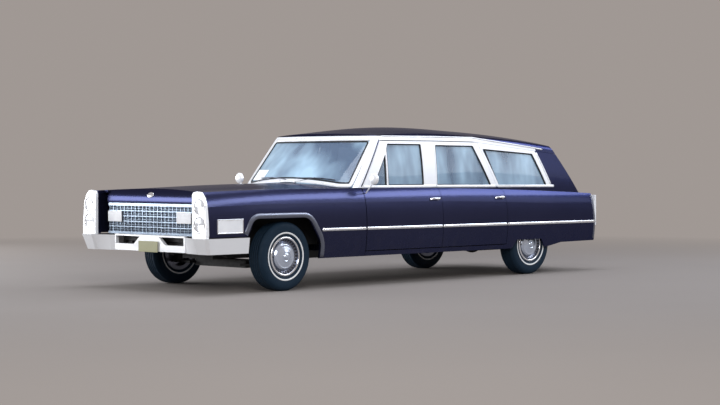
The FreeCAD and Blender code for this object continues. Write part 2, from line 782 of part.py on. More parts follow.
kingpin_y = 770.0
knuckle = fuse(
    [
        box(front_axle_x - 30, front_axle_x + 30, kingpin_y - 30, kingpin_y + 25, 230, 470),
        cylinder_y(front_axle_x, tyre_radius, 34, kingpin_y, front_wheel_y - 26),
        box(front_axle_x - 150, front_axle_x, kingpin_y - 30, kingpin_y - 5, 300, 325),
    ]
)
write_pair("knuckle", knuckle)
lower_arm = plan_prism(
    [(front_axle_x + 25, 718), (front_axle_x + 150, 400), (front_axle_x - 150, 400), (front_axle_x - 25, 718)], 238, 262
)
upper_arm = plan_prism(
    [(front_axle_x + 20, 718), (front_axle_x + 90, 465), (front_axle_x - 90, 465), (front_axle_x - 20, 718)], 440, 458
)
front_cross = box(front_axle_x - 70, front_axle_x + 70, -399, 399, 215, 299)
write("front_suspension", fuse([lower_arm, mirrored(lower_arm), upper_arm, mirrored(upper_arm), front_cross]))

axle = fuse(
    [
        cylinder_y(rear_axle_x, tyre_radius, 42, -rear_wheel_y + 26, rear_wheel_y - 26),
        Part.makeSphere(130, vec(rear_axle_x, 0, tyre_radius)),
    ]
)
springs = [box(rear_axle_x - 700, rear_axle_x + 700, y - 32, y + 32, 282, 308) for y in (-520, 520)]
write("rear_axle", fuse([axle] + [s.fuse(box(rear_axle_x - 40, rear_axle_x + 40, s.BoundBox.YMin, s.BoundBox.YMax, 300, 340)) for s in springs]))
write("driveshaft", tube_between(vec(1410, 0, 420), vec(rear_axle_x + 131, 0, tyre_radius + 2), 30))
exhaust = tube_between(vec(1250, -560, 330), vec(-1180, -560, 330), 24)
exhaust = exhaust.fuse(tube_between(vec(-100, -560, 330), vec(-900, -560, 330), 40))
write("exhaust", exhaust)
write("fuel_tank", box(-2850, -2350, -380, 380, 300, 438))

# ---------------------------------------------------------------- cabin
column = tube_between(vec(650, 400, 925), vec(980, 400, 765), 22)
dash = side_prism([(905, 760), (1010, 760), (1020, 980), (900, 1000), (850, 960), (860, 830)], -780, 780)
dash = dash.cut(tube_between(vec(650, 400, 925), vec(1080, 400, 716.5), 23))
write("dashboard", dash)
seat = fuse(
    [
        side_prism([(420, 396), (-80, 396), (-80, 540), (440, 590)], -760, 760),
        side_prism([(-60, 520), (60, 540), (-110, 1120), (-200, 1110)], -760, 760),
    ]
)
seat = seat.cut(box(-300, 600, -151, 151, 300, 473))
write("front_seat", seat)
partition = box(-425, -400, -780, 780, 395, 1000).cut(box(-430, -390, -151, 151, 300, 473))
write("partition", partition)
wheel_ring = Part.makeTorus(200, 12, vec(0, 0, 0), vec(0, 0, 1))
hub = Part.makeCylinder(35, 40, vec(0, 0, -20), vec(0, 0, 1))
spoke = box(-10, 10, -195, 195, -8, 8)
steering = fuse([wheel_ring, hub, spoke])
steering.Placement = FreeCAD.Placement(vec(620, 400, 940), FreeCAD.Rotation(vec(0, 0, 1), vec(-0.9, 0, 0.436)))
write("steering_wheel", steering)
write("steering_column", column)

mirror_profile = [vec(880, 1070, 1133), vec(880, 1130, 1133), vec(892, 1132, 1133), vec(908, 1120, 1133), vec(918, 1095, 1133), vec(921, 1070, 1133)]
mirror = polygon_face(mirror_profile).revolve(vec(880, 1070, 1133), vec(1, 0, 0), 360)
mirror_stalk = tube_between(vec(895, 1062, 1092), vec(880, 930, 975), 7)
write_pair("mirror", fuse([mirror, mirror_stalk]).cut(front_door))
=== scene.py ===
import math

import bpy
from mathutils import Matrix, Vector
from mathutils.bvhtree import BVHTree


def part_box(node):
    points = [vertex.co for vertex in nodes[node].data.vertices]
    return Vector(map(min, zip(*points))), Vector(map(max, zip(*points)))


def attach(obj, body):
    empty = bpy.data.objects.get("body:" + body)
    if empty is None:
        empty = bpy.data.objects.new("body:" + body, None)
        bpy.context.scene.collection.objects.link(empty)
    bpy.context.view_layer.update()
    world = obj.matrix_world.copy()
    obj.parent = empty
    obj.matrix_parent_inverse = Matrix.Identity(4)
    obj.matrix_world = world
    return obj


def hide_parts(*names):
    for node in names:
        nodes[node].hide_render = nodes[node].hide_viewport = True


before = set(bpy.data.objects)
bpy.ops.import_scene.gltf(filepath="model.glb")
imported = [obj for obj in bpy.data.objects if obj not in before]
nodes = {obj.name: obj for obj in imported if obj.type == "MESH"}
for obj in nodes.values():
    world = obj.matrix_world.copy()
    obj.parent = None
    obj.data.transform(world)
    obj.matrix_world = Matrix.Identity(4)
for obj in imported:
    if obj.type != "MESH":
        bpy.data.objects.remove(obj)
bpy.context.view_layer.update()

# ---------------------------------------------------------------- camera
# A three-quarter view of the car's front and left side, from about eye height, with a
# long lens.
CAMERA_AZIMUTH = math.radians(134.541)
CAMERA_ELEVATION = math.radians(1.175)
level = math.cos(CAMERA_ELEVATION)
towards_camera = Vector((
    math.sin(CAMERA_AZIMUTH) * level,
    -math.cos(CAMERA_AZIMUTH) * level,
    math.sin(CAMERA_ELEVATION),
))
camera_data = bpy.data.cameras.new("camera")
camera_data.lens = 87.44
camera_data.sensor_width = 36.0
camera = bpy.data.objects.new("camera", camera_data)
camera.location = (14.165, 13.925, 1.2645)
camera.rotation_euler = (-towards_camera).to_track_quat("-Z", "Y").to_euler()
bpy.context.scene.collection.objects.link(camera)
bpy.context.scene.camera = camera
bpy.context.scene.view_settings.view_transform = "Standard"


# ---------------------------------------------------------------- studio floor
# A painted concrete floor that runs out into a backdrop of its own colour. It isn't part
# of the car.
class Wire:
    """A shader socket that takes part in sums."""

    def __init__(self, owner, socket):
        self.owner = owner
        self.socket = socket

    def math(self, operation, first, second):
        return self.owner.node("ShaderNodeMath", {0: first, 1: second}, operation=operation)

    def __add__(self, other):
        return self.math("ADD", self, other)

    def __radd__(self, other):
        return self.math("ADD", other, self)

    def __sub__(self, other):
        return self.math("SUBTRACT", self, other)

    def __rsub__(self, other):
        return self.math("SUBTRACT", other, self)

    def __mul__(self, other):
        return self.math("MULTIPLY", self, other)

    def __rmul__(self, other):
        return self.math("MULTIPLY", other, self)

    def __gt__(self, other):
        return self.math("GREATER_THAN", self, other)

    def __lt__(self, other):
        return self.math("LESS_THAN", self, other)

    def larger(self, other):
        return self.math("MAXIMUM", self, other)

    def clamped(self):
        return self.owner.node("ShaderNodeClamp", {0: self})


class Nodes:
    """A node tree whose sockets are set and joined."""

    def __init__(self, tree):
        self.tree = tree

    def link(self, value, socket):
        if isinstance(value, Wire):
            self.tree.links.new(value.socket, socket)
        elif isinstance(value, tuple) and len(value) == 3 and len(socket.default_value) == 4:
            socket.default_value = (*value, 1)
        else:
            socket.default_value = value

    def node(self, kind, inputs=None, output=0, **settings):
        made = self.tree.nodes.new(kind)
        for key, value in settings.items():
            setattr(made, key, value)
        for key, value in (inputs or {}).items():
            self.link(value, made.inputs[key])
        return Wire(self, made.outputs[output])


class Shade(Nodes):
    """A material on one Principled shader, with constants set on the shader's own sockets."""

    def __init__(self, name, colour, roughness, metallic=0.0, **constants):
        self.material = bpy.data.materials.new(name)
        self.material.use_nodes = True
        self.material.diffuse_color = (*colour, 1)
        super().__init__(self.material.node_tree)
        self.shader = self.tree.nodes["Principled BSDF"]
        self.set("Base Color", colour)
        self.set("Roughness", roughness)
        self.set("Metallic", metallic)
        for key, value in constants.items():
            self.set(key.replace("_", " "), value)

    def set(self, name, value):
        self.link(value, self.shader.inputs[name])

    def position(self):
        return self.node("ShaderNodeNewGeometry", output="Position")

    def noise(self, scale, detail=3.0, stretch=(1, 1, 1)):
        where = self.node("ShaderNodeMapping", {"Vector": self.position(), "Scale": stretch})
        return self.node("ShaderNodeTexNoise", {"Vector": where, "Scale": scale, "Detail": detail})

    def axis(self, letter):
        return self.node("ShaderNodeSeparateXYZ", {0: self.position()}, letter)

    def ramp(self, value, low, high, start=0.0, end=1.0):
        return self.node("ShaderNodeMapRange", {0: value, 1: low, 2: high, 3: start, 4: end})

    def mix(self, amount, first, second):
        return self.node("ShaderNodeMix", {0: amount, 6: first, 7: second}, 2, data_type="RGBA")

    def bump(self, height, strength, distance):
        relief = {"Height": height, "Strength": strength, "Distance": distance}
        self.set("Normal", self.node("ShaderNodeBump", relief))


BACKDROP = (0.352, 0.315, 0.296)
PAINT_DARK = (0.243, 0.215, 0.197)
PAINT_LIGHT = (0.255, 0.227, 0.208)
FADE_START = 5.0
FADE_END = 13.0
FLOOR_SIZE = 300
concrete = Shade("floor_paint", (0.25, 0.222, 0.204), 0.9, Specular_IOR_Level=0.2)
concrete.set("Base Color", concrete.mix(concrete.noise(0.8, 4.0), PAINT_DARK, PAINT_LIGHT))
concrete.bump(concrete.noise(90.0, 2.0), 0.05, 0.001)
painted = Wire(concrete, concrete.shader.outputs[0])
far_off = concrete.node("ShaderNodeEmission", {"Color": BACKDROP, "Strength": 1.0})
reach = concrete.node("ShaderNodeVectorMath", {0: concrete.position()}, "Value", operation="LENGTH")
distance = concrete.ramp(reach, FADE_START, FADE_END)
fade = concrete.node("ShaderNodeMixShader", {0: distance, 1: painted, 2: far_off})
concrete.link(fade, concrete.tree.nodes["Material Output"].inputs["Surface"])
bpy.ops.mesh.primitive_plane_add(size=FLOOR_SIZE, location=(0, 0, 0))
floor = bpy.context.object
floor.name = "floor"
floor.data.materials.append(concrete.material)

# ---------------------------------------------------------------- studio light
# A pale even surround, a large overhead panel and long low panels beside the car, which
# draw soft highlights along its shoulders and glass.
world = bpy.data.worlds.new("studio")
bpy.context.scene.world = world
world.use_nodes = True
sky = Nodes(world.node_tree)
background = sky.tree.nodes["Background"]
sky.link((0.60, 0.63, 0.70), background.inputs["Color"])
sky.link(0.62, background.inputs["Strength"])
surround = Wire(sky, background.outputs[0])
seen = sky.node("ShaderNodeBackground", {"Color": BACKDROP, "Strength": 1.0})
direct = sky.node("ShaderNodeLightPath", output="Is Camera Ray")
mirrored = sky.node("ShaderNodeLightPath", output="Is Glossy Ray")
passing = sky.node("ShaderNodeLightPath", output="Is Transmission Ray")
shown = direct.larger(mirrored).larger(passing)
either = sky.node("ShaderNodeMixShader", {0: shown, 1: surround, 2: seen})
sky.link(either, sky.tree.nodes["World Output"].inputs["Surface"])


def soft_box(name, where, target, size, power, colour=(1, 1, 1)):
    """A flat light of a width and a height, turned to face a target."""
    data = bpy.data.lights.new(name, "AREA")
    data.shape = "RECTANGLE"
    data.size, data.size_y = size
    data.energy = power
    data.color = colour
    lamp = bpy.data.objects.new(name, data)
    lamp.location = where
    lamp.rotation_euler = (Vector(target) - Vector(where)).to_track_quat("-Z", "Y").to_euler()
    bpy.context.scene.collection.objects.link(lamp)


soft_box("overhead", (0.5, 1, 8), (0.5, 0, 0), (9, 5), 470, (0.86, 0.91, 1.0))
soft_box("rear_left_panel", (-9.5, 7.0, 8.0), (-1.0, 1, 0.9), (12, 3.2), 980, (0.84, 0.90, 1.0))
soft_box("front_right_panel", (8.5, -8.5, 2.6), (1.5, 0, 0.7), (7, 4), 760, (0.93, 0.96, 1.0))
soft_box("front_left_panel", (10, 10, 5.5), (0, 0, 0.8), (5, 4), 720)
soft_box("rear_left_low_panel", (-10, 8.5, 4.6), (-2, 0.8, 1.2), (9, 2.5), 90, (0.86, 0.92, 1.0))
soft_box("right_panel", (2.0, -10, 2.2), (0, 0, 0.8), (7, 3), 300, (0.95, 0.97, 1.0))


# ---------------------------------------------------------------- chassis
# Two long steel rails with cross members, front arms, rear axle with leaf springs, shaft,
# steering knuckles and tank: dipped in black, with road dirt on them.
def finish(
    name, colour, roughness, metallic=0.0, grain=120.0, depth=0.15, vary=0.2, bump=0.001, **constants
):
    """A painted, cast, moulded or woven surface with its own cloudiness and grain."""
    shade = Shade(name, colour, roughness, metallic, **constants)
    dark = tuple(c * (1 - vary) for c in colour)
    light = tuple(min(1, c * (1 + vary)) for c in colour)
    shade.set("Base Color", shade.mix(shade.noise(6.0, 5.0), dark, light))
    smooth = max(0.02, roughness - 0.08)
    rough = min(1, roughness + 0.08)
    shade.set("Roughness", shade.ramp(shade.noise(30.0, 4.0), 0.3, 0.7, smooth, rough))
    shade.bump(shade.noise(grain, 3.0), depth, bump)
    return shade.material


def dress(material, *names):
    """Gives carried-over solids their finish."""
    for name in names:
        nodes[name].data.materials.clear()
        nodes[name].data.materials.append(material)


dip_black = finish("dip_black", (0.016, 0.016, 0.017), 0.6, grain=60.0, depth=0.3, vary=0.4)
dress(dip_black, "frame", "engine_bay_panels", "front_suspension", "knuckle_left", "knuckle_right")
dress(dip_black, "rear_axle", "driveshaft", "fuel_tank")

# ---------------------------------------------------------------- engine and exhaust
# One cast block stands for the engine and gearbox, bolted between the rails. The exhaust is
# aluminised tube, hung under the floor.
dress(finish("cast_iron", (0.05, 0.05, 0.052), 0.65, 0.4, grain=90.0, depth=0.4), "engine")
dress(finish("aluminised_steel", (0.22, 0.215, 0.21), 0.45, 0.9, vary=0.3), "exhaust")

# ---------------------------------------------------------------- tyres
# Cross-ply tyres in black rubber, moulded with four zigzag grooves, and a thin white band
# let into both walls.
SIDES = (("left", 1), ("right", -1))


def piece(name, verts, faces, material, body, smooth=True, bevel=0.0):
    """A mesh in the car's own frame that rides on a body."""
    mesh = bpy.data.meshes.new(name)
    mesh.from_pydata([tuple(v) for v in verts], [], faces)
    mesh.update()
    made = bpy.data.objects.new(name, mesh)
    bpy.context.scene.collection.objects.link(made)
    mesh.materials.append(material)
    for face in mesh.polygons:
        face.use_smooth = smooth
    if bevel:
        rounder = made.modifiers.new("round", "BEVEL")
        rounder.width = bevel
        rounder.segments = 2
        rounder.limit_method = "ANGLE"
    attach(made, body)
    return made


def turned(
    name, profile, centre, material, body, axis="y", side=1, steps=64, closed=False, shift=None
):
    """A profile of (radius, out) points turned about a line through centre."""
    verts = []
    for n in range(steps):
        angle = 2 * math.pi * n / steps
        for k, (radius, out) in enumerate(profile):
            if shift:
                out += shift(k, n)
            across = radius * math.cos(angle)
            rise = radius * math.sin(angle)
            if axis == "y":
                verts.append((centre[0] + across, centre[1] + side * out, centre[2] + rise))
            else:
                verts.append((centre[0] + side * out, centre[1] + across, centre[2] + rise))
    size = len(profile)
    flip = (side > 0) == (axis == "y")
    faces = []
    for n in range(steps):
        m = (n + 1) % steps
        for k in range(size if closed else size - 1):
            j = (k + 1) % size
            quad = (n * size + k, n * size + j, m * size + j, m * size + k)
            faces.append(quad if flip else quad[::-1])
    return piece(name, verts, faces, material, body)


rubber = Shade("tyre_rubber", (0.009, 0.021, 0.038), 0.62, Specular_IOR_Level=0.15)
worn = rubber.mix(rubber.noise(12.0, 5.0), (0.006, 0.017, 0.033), (0.011, 0.026, 0.045))
rubber.set("Base Color", worn)
rubber.set("Roughness", rubber.ramp(rubber.noise(40.0, 4.0), 0.3, 0.7, 0.55, 0.75))
rubber.bump(rubber.noise(300.0, 3.0), 0.3, 0.0006)
tyre_rubber = rubber.material
whitewall = finish("whitewall", (0.80, 0.80, 0.79), 0.5, vary=0.04, grain=200.0, depth=0.05)

# the outer wall from bead to shoulder, as (radius, out)
WALL = [
    (0.204, 0.083), (0.212, 0.090), (0.228, 0.0965), (0.258, 0.1012), (0.290, 0.1022),
    (0.312, 0.1005), (0.326, 0.096), (0.337, 0.088), (0.345, 0.079), (0.3495, 0.073),
]
TREAD_RADIUS = 0.3519
TREAD_EDGE = (0.351, 0.068)
GROOVES = (0.045, 0.015, -0.015, -0.045)
GROOVE_RADIUS = 0.3455
GROOVE_LIP = 0.0042
GROOVE_FOOT = 0.0026
ZIGZAG = 0.0035
TYRE_SLICES = 180
TREAD = [TREAD_EDGE]
for groove in GROOVES:
    TREAD += [(TREAD_RADIUS, groove + GROOVE_LIP), (GROOVE_RADIUS, groove + GROOVE_FOOT)]
    TREAD += [(GROOVE_RADIUS, groove - GROOVE_FOOT), (TREAD_RADIUS, groove - GROOVE_LIP)]
TREAD.append((TREAD_EDGE[0], -TREAD_EDGE[1]))
TYRE = WALL + TREAD + [(r, -out) for r, out in reversed(WALL)]
BAND = [(0.2310, 0.0960), (0.2320, 0.0982), (0.2395, 0.0998), (0.2470, 0.1010), (0.2480, 0.0990)]
INNER_BAND = [(r, -out) for r, out in reversed(BAND)]
in_groove = range(len(WALL) + 1, len(WALL) + len(TREAD) - 1)


def zigzag(k, n):
    """Sideways step of a groove's wall: it turns every third slice."""
    return ZIGZAG * (abs(n % 6 - 3) / 1.5 - 1) if k in in_groove else 0.0


# tag, body, centre, side
WHEELS = []
for end in ("front", "rear"):
    low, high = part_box(end + "_tyre_left")
    hub = (low + high) / 2
    for label, side in SIDES:
        tag = "%s_%s" % (end, label)
        WHEELS.append((tag, "wheel_" + tag, (hub.x, side * hub.y, hub.z), side))
for tag, body, centre, side in WHEELS:
    tyre = turned(
        "tyre_" + tag, TYRE, centre, tyre_rubber, body,
        side=side, steps=TYRE_SLICES, shift=zigzag,
    )
    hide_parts(tag.replace("_", "_tyre_"))
    for name, band in (("white_band_", BAND), ("inner_band_", INNER_BAND)):
        turned(name + tag, band, centre, whitewall, body, side=side, steps=96)


# ---------------------------------------------------------------- wheels
# Pressed steel wheels under full covers of polished stainless steel: a domed centre, a ring
# of slots and a bright rolled lip, snapped on over the rim.
def plated(name, colour, roughness, metallic=1.0):
    """Bright plating with a faint haze of polishing marks and smears."""
    shade = Shade(name, colour, roughness, metallic, Coat_Weight=0.3, Coat_Roughness=0.03)
    smear = shade.noise(6.0, 3.0, (1, 1, 2))
    shade.set("Roughness", shade.ramp(smear, 0.3, 0.8, roughness * 0.85, roughness * 1.3))
    shade.set("Base Color", shade.mix(shade.noise(3.0, 3.0), colour, tuple(c * 0.96 for c in colour)))
    shade.bump(shade.noise(40.0, 1.0), 0.01, 0.0003)
    return shade.material


plating = plated("plating", (0.88, 0.89, 0.92), 0.10, 0.85)
satin_plating = plated("satin_plating", (0.165, 0.178, 0.228), 0.30, 0.8)
cover_plating = plated("cover_plating", (0.66, 0.73, 0.86), 0.16, 0.75)
cover_dark = plated("cover_dark", (0.07, 0.09, 0.15), 0.28, 0.7)
seal_rubber = finish("seal_rubber", (0.010, 0.011, 0.014), 0.7, grain=200.0)
dress(satin_plating, *[tag.replace("_", "_wheel_") for tag, _, _, _ in WHEELS])

# profiles as (radius, out)
COVER_LIP = [
    (0.180, 0.088), (0.183, 0.0935), (0.192, 0.0955), (0.200, 0.092), (0.2045, 0.085), (0.201, 0.080),
]
COVER_DOME = [
    (0.0, 0.1200), (0.016, 0.1195), (0.026, 0.1170), (0.031, 0.1100), (0.034, 0.1040), (0.044, 0.1035),
    (0.046, 0.1060), (0.052, 0.1060), (0.054, 0.1025), (0.072, 0.0995), (0.099, 0.0935), (0.115, 0.0875),
    (0.117, 0.0895), (0.124, 0.0875), (0.127, 0.0825), (0.137, 0.0760), (0.142, 0.0700), (0.144, 0.0620),
]
COVER_RING = [
    (0.144, 0.066), (0.148, 0.062), (0.152, 0.064), (0.157, 0.070), (0.174, 0.084), (0.180, 0.0895),
]
VALVE = [(0.0, 0.098), (0.0035, 0.0975), (0.004, 0.092), (0.0055, 0.080), (0.0055, 0.070)]
VALVE_RADIUS = 0.162
SLOTS = 30
SLOT_FOOT = 0.154
SLOT_TOP = 0.173
# corners of a slot as (radius, half its angle)
SLOT = ((SLOT_FOOT, 0.052), (SLOT_TOP, 0.062), (SLOT_TOP, -0.062), (SLOT_FOOT, -0.052))
SLOT_OUT = 0.0670
SLOT_SLOPE = 0.884
# how far the dark blocks of painted slot shade stand off the ring
SLOT_SHADE_LIFT = 0.0022
BOX_FACES = ((0, 3, 2, 1), (4, 5, 6, 7), (0, 1, 5, 4), (1, 2, 6, 5), (2, 3, 7, 6), (3, 0, 4, 7))


def box_faces(base):
    """The six faces of a block whose eight corners start at a number."""
    return [tuple(base + i for i in face) for face in BOX_FACES]


for tag, body, centre, side in WHEELS:
    turned("wheel_lip_" + tag, COVER_LIP, centre, plating, body, side=side)
    turned("wheel_dome_" + tag, COVER_DOME, centre, cover_plating, body, side=side)
    turned("wheel_ring_" + tag, COVER_RING, centre, cover_dark, body, side=side)
    verts = []
    faces = []
    for n in range(SLOTS):
        middle = 2 * math.pi * n / SLOTS
        faces += box_faces(len(verts))
        for lift in (0.0, SLOT_SHADE_LIFT):
            for radius, spread in SLOT:
                out = SLOT_OUT + (radius - SLOT_FOOT) * SLOT_SLOPE + lift
                angle = middle + spread
                verts.append((
                    centre[0] + radius * math.cos(angle),
                    centre[1] + side * out,
                    centre[2] + radius * math.sin(angle),
                ))
    # the slots are not cut through: dark blocks laid on the ring are painted shade standing in for the
    # openings
    piece("wheel_slots_" + tag, verts, faces, seal_rubber, body, False)
    stem = (centre[0] + VALVE_RADIUS, centre[1], centre[2])
    turned("valve_" + tag, VALVE, stem, seal_rubber, body, side=side, steps=16)

# ---------------------------------------------------------------- floor, partition and deck
# Looped carpet over the floor and partition, and a varnished deck with rubber rollers and
# screwed stainless skid strips for the casket.
carpet = finish("carpet", (0.045, 0.045, 0.06), 0.95, grain=900.0, depth=0.8, bump=0.004, Sheen_Weight=0.4)
dress(carpet, "floor", "partition")


def planked(name):
    """Varnished boards laid along the car, with grain and dark joints."""
    shade = Shade(name, (0.13, 0.055, 0.025), 0.3, Coat_Weight=0.6, Coat_Roughness=0.08)
    grain = shade.noise(28.0, 6.0, (0.12, 1.6, 1.0))
    colour = shade.mix(grain, (0.085, 0.032, 0.013), (0.19, 0.085, 0.038))
    across = shade.node("ShaderNodeMath", {0: shade.axis("Y") * 8.0}, operation="FRACT")
    joint = ((across < 0.012) + (across > 0.988)).clamped()
    shade.set("Base Color", shade.mix(joint, colour, (0.02, 0.008, 0.004)))
    shade.set("Roughness", shade.ramp(grain, 0.3, 0.7, 0.22, 0.38))
    shade.bump(grain, 0.1, 0.001)
    return shade.material


dress(planked("deck_boards"), "casket_deck")
dress(seal_rubber, "deck_rollers")


def blocks(name, boxes, material, body, bevel=0.001):
    """Several small bevelled bars in one piece. Each is (low corner, high corner)."""
    verts = []
    faces = []
    for (x0, y0, z0), (x1, y1, z1) in boxes:
        faces += box_faces(len(verts))
        for z in (z0, z1):
            verts += [(x0, y0, z), (x1, y0, z), (x1, y1, z), (x0, y1, z)]
    return piece(name, verts, faces, material, body, False, bevel)


_, deck_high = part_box("casket_deck")
DECK_REAR = -2.86
DECK_FRONT = -0.45
SKIDS = (-0.62, -0.44, 0.44, 0.62)
SKID_HALF = 0.012
SKID_LEVELS = (0.6395, 0.645)
LEDGE_MIDDLE = 0.765
LEDGE_HALF = 0.075
CARPET_SUNK = 0.0005
CARPET_THICK = 0.004
strips = []
for y in SKIDS:
    strips.append(((DECK_REAR, y - SKID_HALF, SKID_LEVELS[0]), (DECK_FRONT, y + SKID_HALF, SKID_LEVELS[1])))
blocks("deck_skid_strips", strips, plating, "body", 0.002)
ledges = []
for _, side in SIDES:
    y = side * LEDGE_MIDDLE
    rear_corner = (DECK_REAR, y - LEDGE_HALF, deck_high.z - CARPET_SUNK)
    ledges.append((rear_corner, (DECK_FRONT, y + LEDGE_HALF, deck_high.z + CARPET_THICK)))
blocks("ledge_carpet", ledges, carpet, "body", 0.002)

# ---------------------------------------------------------------- dashboard and steering
# A padded dashboard with a bright instrument strip, a radio panel, round dials and a glove
# box lid, and a thin two-spoke steering wheel.
moulded = finish("padded_trim", (0.02, 0.02, 0.035), 0.45, grain=500.0, depth=0.25)
dress(moulded, "dashboard", "steering_wheel", "steering_column")
dial_face = finish("dial_face", (0.015, 0.015, 0.017), 0.4, grain=300.0)
# the dashboard's face, towards the seat, is at its lowest x
dash_low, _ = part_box("dashboard")
face_x = dash_low.x
PANEL_SUNK = 0.01
# name, height off the face, corners as (y, z), finish, slot, rounding
DASH_PANELS = (
    ("instrument_strip", 0.006, (-0.70, 0.905), (0.70, 0.955), satin_plating, "bright_trim", 0.002),
    ("instrument_panel", 0.009, (0.24, 0.862), (0.56, 0.955), dial_face, "padded_trim", 0.004),
    ("glove_box_lid", 0.005, (-0.66, 0.775), (-0.28, 0.885), moulded, "padded_trim", 0.004),
    ("radio_panel", 0.007, (-0.13, 0.80), (0.13, 0.885), satin_plating, "bright_trim", 0.003),
)
for name, out, (y0, z0), (y1, z1), material, slot, rounding in DASH_PANELS:
    panel = [((face_x - out, y0, z0), (face_x + PANEL_SUNK, y1, z1))]
    blocks(name, panel, material, "body", rounding)
# y, z, radius
DIALS = ((0.32, 0.908, 0.036), (0.48, 0.908, 0.036), (0.40, 0.885, 0.018))
for n, (y, z, r) in enumerate(DIALS):
    rim = [(r - 0.003, 0.0125), (r, 0.014), (r + 0.004, 0.012), (r + 0.005, 0.008)]
    turned("dial_rim_%d" % n, rim, (face_x, y, z), plating, "body", "x", -1, 40)
KNOB = [(0.0, 0.026), (0.006, 0.0255), (0.009, 0.023), (0.010, 0.012), (0.011, 0.006)]
KNOB_HEIGHT = 0.842
KNOB_PLACES = (-0.10, -0.06, 0.06, 0.10)
for n, y in enumerate(KNOB_PLACES):
    centre = (face_x, y, KNOB_HEIGHT)
    turned("radio_knob_%d" % n, KNOB, centre, plating, "body", "x", -1, 24)

# ---------------------------------------------------------------- front seat
# A full-width bench, cushion and back, in leather over springs and foam. The leather is sewn
# in upright channels, and the bench is bolted to the floor.
leather = finish("seat_leather", (0.05, 0.055, 0.075), 0.5, grain=420.0, depth=0.35)
SEAT_HALF = 0.755
PLEATS = 14
PLEAT_STEPS = 6
PLEAT_DEPTH = 0.05
# how far the pads draw in at their ends
PAD_DRAW = 0.10
# sections as (x, z)
CUSHION = [
    (0.40, 0.415), (0.435, 0.45), (0.43, 0.54), (0.38, 0.575),
    (0.18, 0.56), (0.0, 0.53), (-0.07, 0.50), (-0.075, 0.415),
]
BACK = [
    (-0.06, 0.54), (0.03, 0.545), (0.04, 0.62), (0.0, 0.80), (-0.06, 1.0),
    (-0.105, 1.10), (-0.145, 1.118), (-0.19, 1.10), (-0.185, 1.0), (-0.12, 0.75),
]


def bench_pad(name, section):
    """A long pad: a rounded section carried across the car, with sewn channels."""
    verts = []
    faces = []
    steps = PLEATS * PLEAT_STEPS
    middle_x = sum(x for x, _ in section) / len(section)
    middle_z = sum(z for _, z in section) / len(section)
    for n in range(steps + 1):
        t = n / steps
        y = -SEAT_HALF + 2 * SEAT_HALF * t
        end = 1 - abs(2 * t - 1) ** 12
        channel = abs(math.sin(math.pi * PLEATS * t)) ** 0.5
        swell = (1 - PAD_DRAW * (1 - end)) * (1 + PLEAT_DEPTH * (channel - 1) * end)
        for x, z in section:
            verts.append((middle_x + (x - middle_x) * swell, y, middle_z + (z - middle_z) * swell))
    size = len(section)
    for n in range(steps):
        for k in range(size):
            j = (k + 1) % size
            faces.append((n * size + k, (n + 1) * size + k, (n + 1) * size + j, n * size + j))
    faces.append(tuple(range(size)))
    faces.append(tuple(steps * size + k for k in reversed(range(size))))
    made = piece(name, verts, faces, leather, "body")
    rounder = made.modifiers.new("soften", "SUBSURF")
    rounder.levels = 1
    rounder.render_levels = 1
    return made


cushion = bench_pad("seat_cushion", CUSHION)
bench_pad("seat_back", BACK)
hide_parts("front_seat")

# ---------------------------------------------------------------- body shell
# Pressed steel panels in blue-black lacquer. Above the belt the door, windshield and quarter
# frames are polished bright metal, as far back as the last pillar's strip. Their near-white, mostly
# unmetallic colour is partly painted reflection, standing in for the chrome's glare.
NAVY = (0.034, 0.038, 0.086)
NAVY_DARK = (0.030, 0.034, 0.078)
NAVY_LIGHT = (0.040, 0.044, 0.098)
SHEEN_TINT = (0.14, 0.17, 0.36)
ROAD_DUST = (0.16, 0.14, 0.12)
# the frames' near-white: bright metal in part, painted reflection of the chrome's glare in part
FRAME_GLARE_WHITE = (0.95, 0.96, 0.98)
LACQUER_METALLIC = 0.9
FRAME_METALLIC = 0.18


def lacquered(name, bright=None):
    """Dark blue lacquer. bright marks where a frame takes over, in a near-white colour that is partly painted
    reflection.
    """
    shade = Shade(
        name, NAVY, 0.3, LACQUER_METALLIC, Coat_Weight=0.12, Coat_Roughness=0.06, Specular_Tint=SHEEN_TINT
    )
    low_down = shade.ramp(shade.axis("Z"), 0.62, 0.30)
    dust = (low_down * shade.ramp(shade.noise(9.0, 6.0), 0.45, 0.8)).clamped()
    colour = shade.mix(shade.noise(1.6, 2.0), NAVY_DARK, NAVY_LIGHT)
    colour = shade.mix(dust * 0.12, colour, ROAD_DUST)
    rough = shade.ramp(dust, 0.0, 1.0, 0.26, 0.42)
    if bright:
        area = bright(shade)
        colour = shade.mix(area, colour, FRAME_GLARE_WHITE)
        shade.set("Metallic", LACQUER_METALLIC - area * (LACQUER_METALLIC - FRAME_METALLIC))
        rough = rough + area * 0.02
    shade.set("Base Color", colour)
    shade.set("Roughness", rough)
    shade.bump(shade.noise(260.0, 1.0), 0.015, 0.0003)
    return shade.material


# where the frames take over: on the doors, ahead of the last pillar's leaning strip, under
# the roof's gutter, which falls towards the back, and under the windshield's header
DOOR_FRAME_FOOT = 1.036
QUARTER_FRAME_FOOT = 1.03
STRIP_X = -2.36
STRIP_Z = 1.05
STRIP_LEAN = 0.531
GUTTER_REAR = (-2.15, 1.486)
GUTTER_FRONT = (-0.9, 1.600)
GUTTER_END = -2.17
HEADER_TOP = 1.598


def above_belt(shade):
    return shade.axis("Z") > DOOR_FRAME_FOOT


def ahead_of_strip(shade):
    height = shade.axis("Z")
    edge = (shade.axis("X") - STRIP_X) - (height - STRIP_Z) * STRIP_LEAN
    return (height > QUARTER_FRAME_FOOT) * (edge > 0.0)


def below_gutter(shade):
    along = shade.axis("X")
    level = shade.ramp(along, GUTTER_REAR[0], GUTTER_FRONT[0], GUTTER_REAR[1], GUTTER_FRONT[1])
    return (shade.axis("Z") < level) * (along > GUTTER_END)


def below_header(shade):
    return shade.axis("Z") < HEADER_TOP


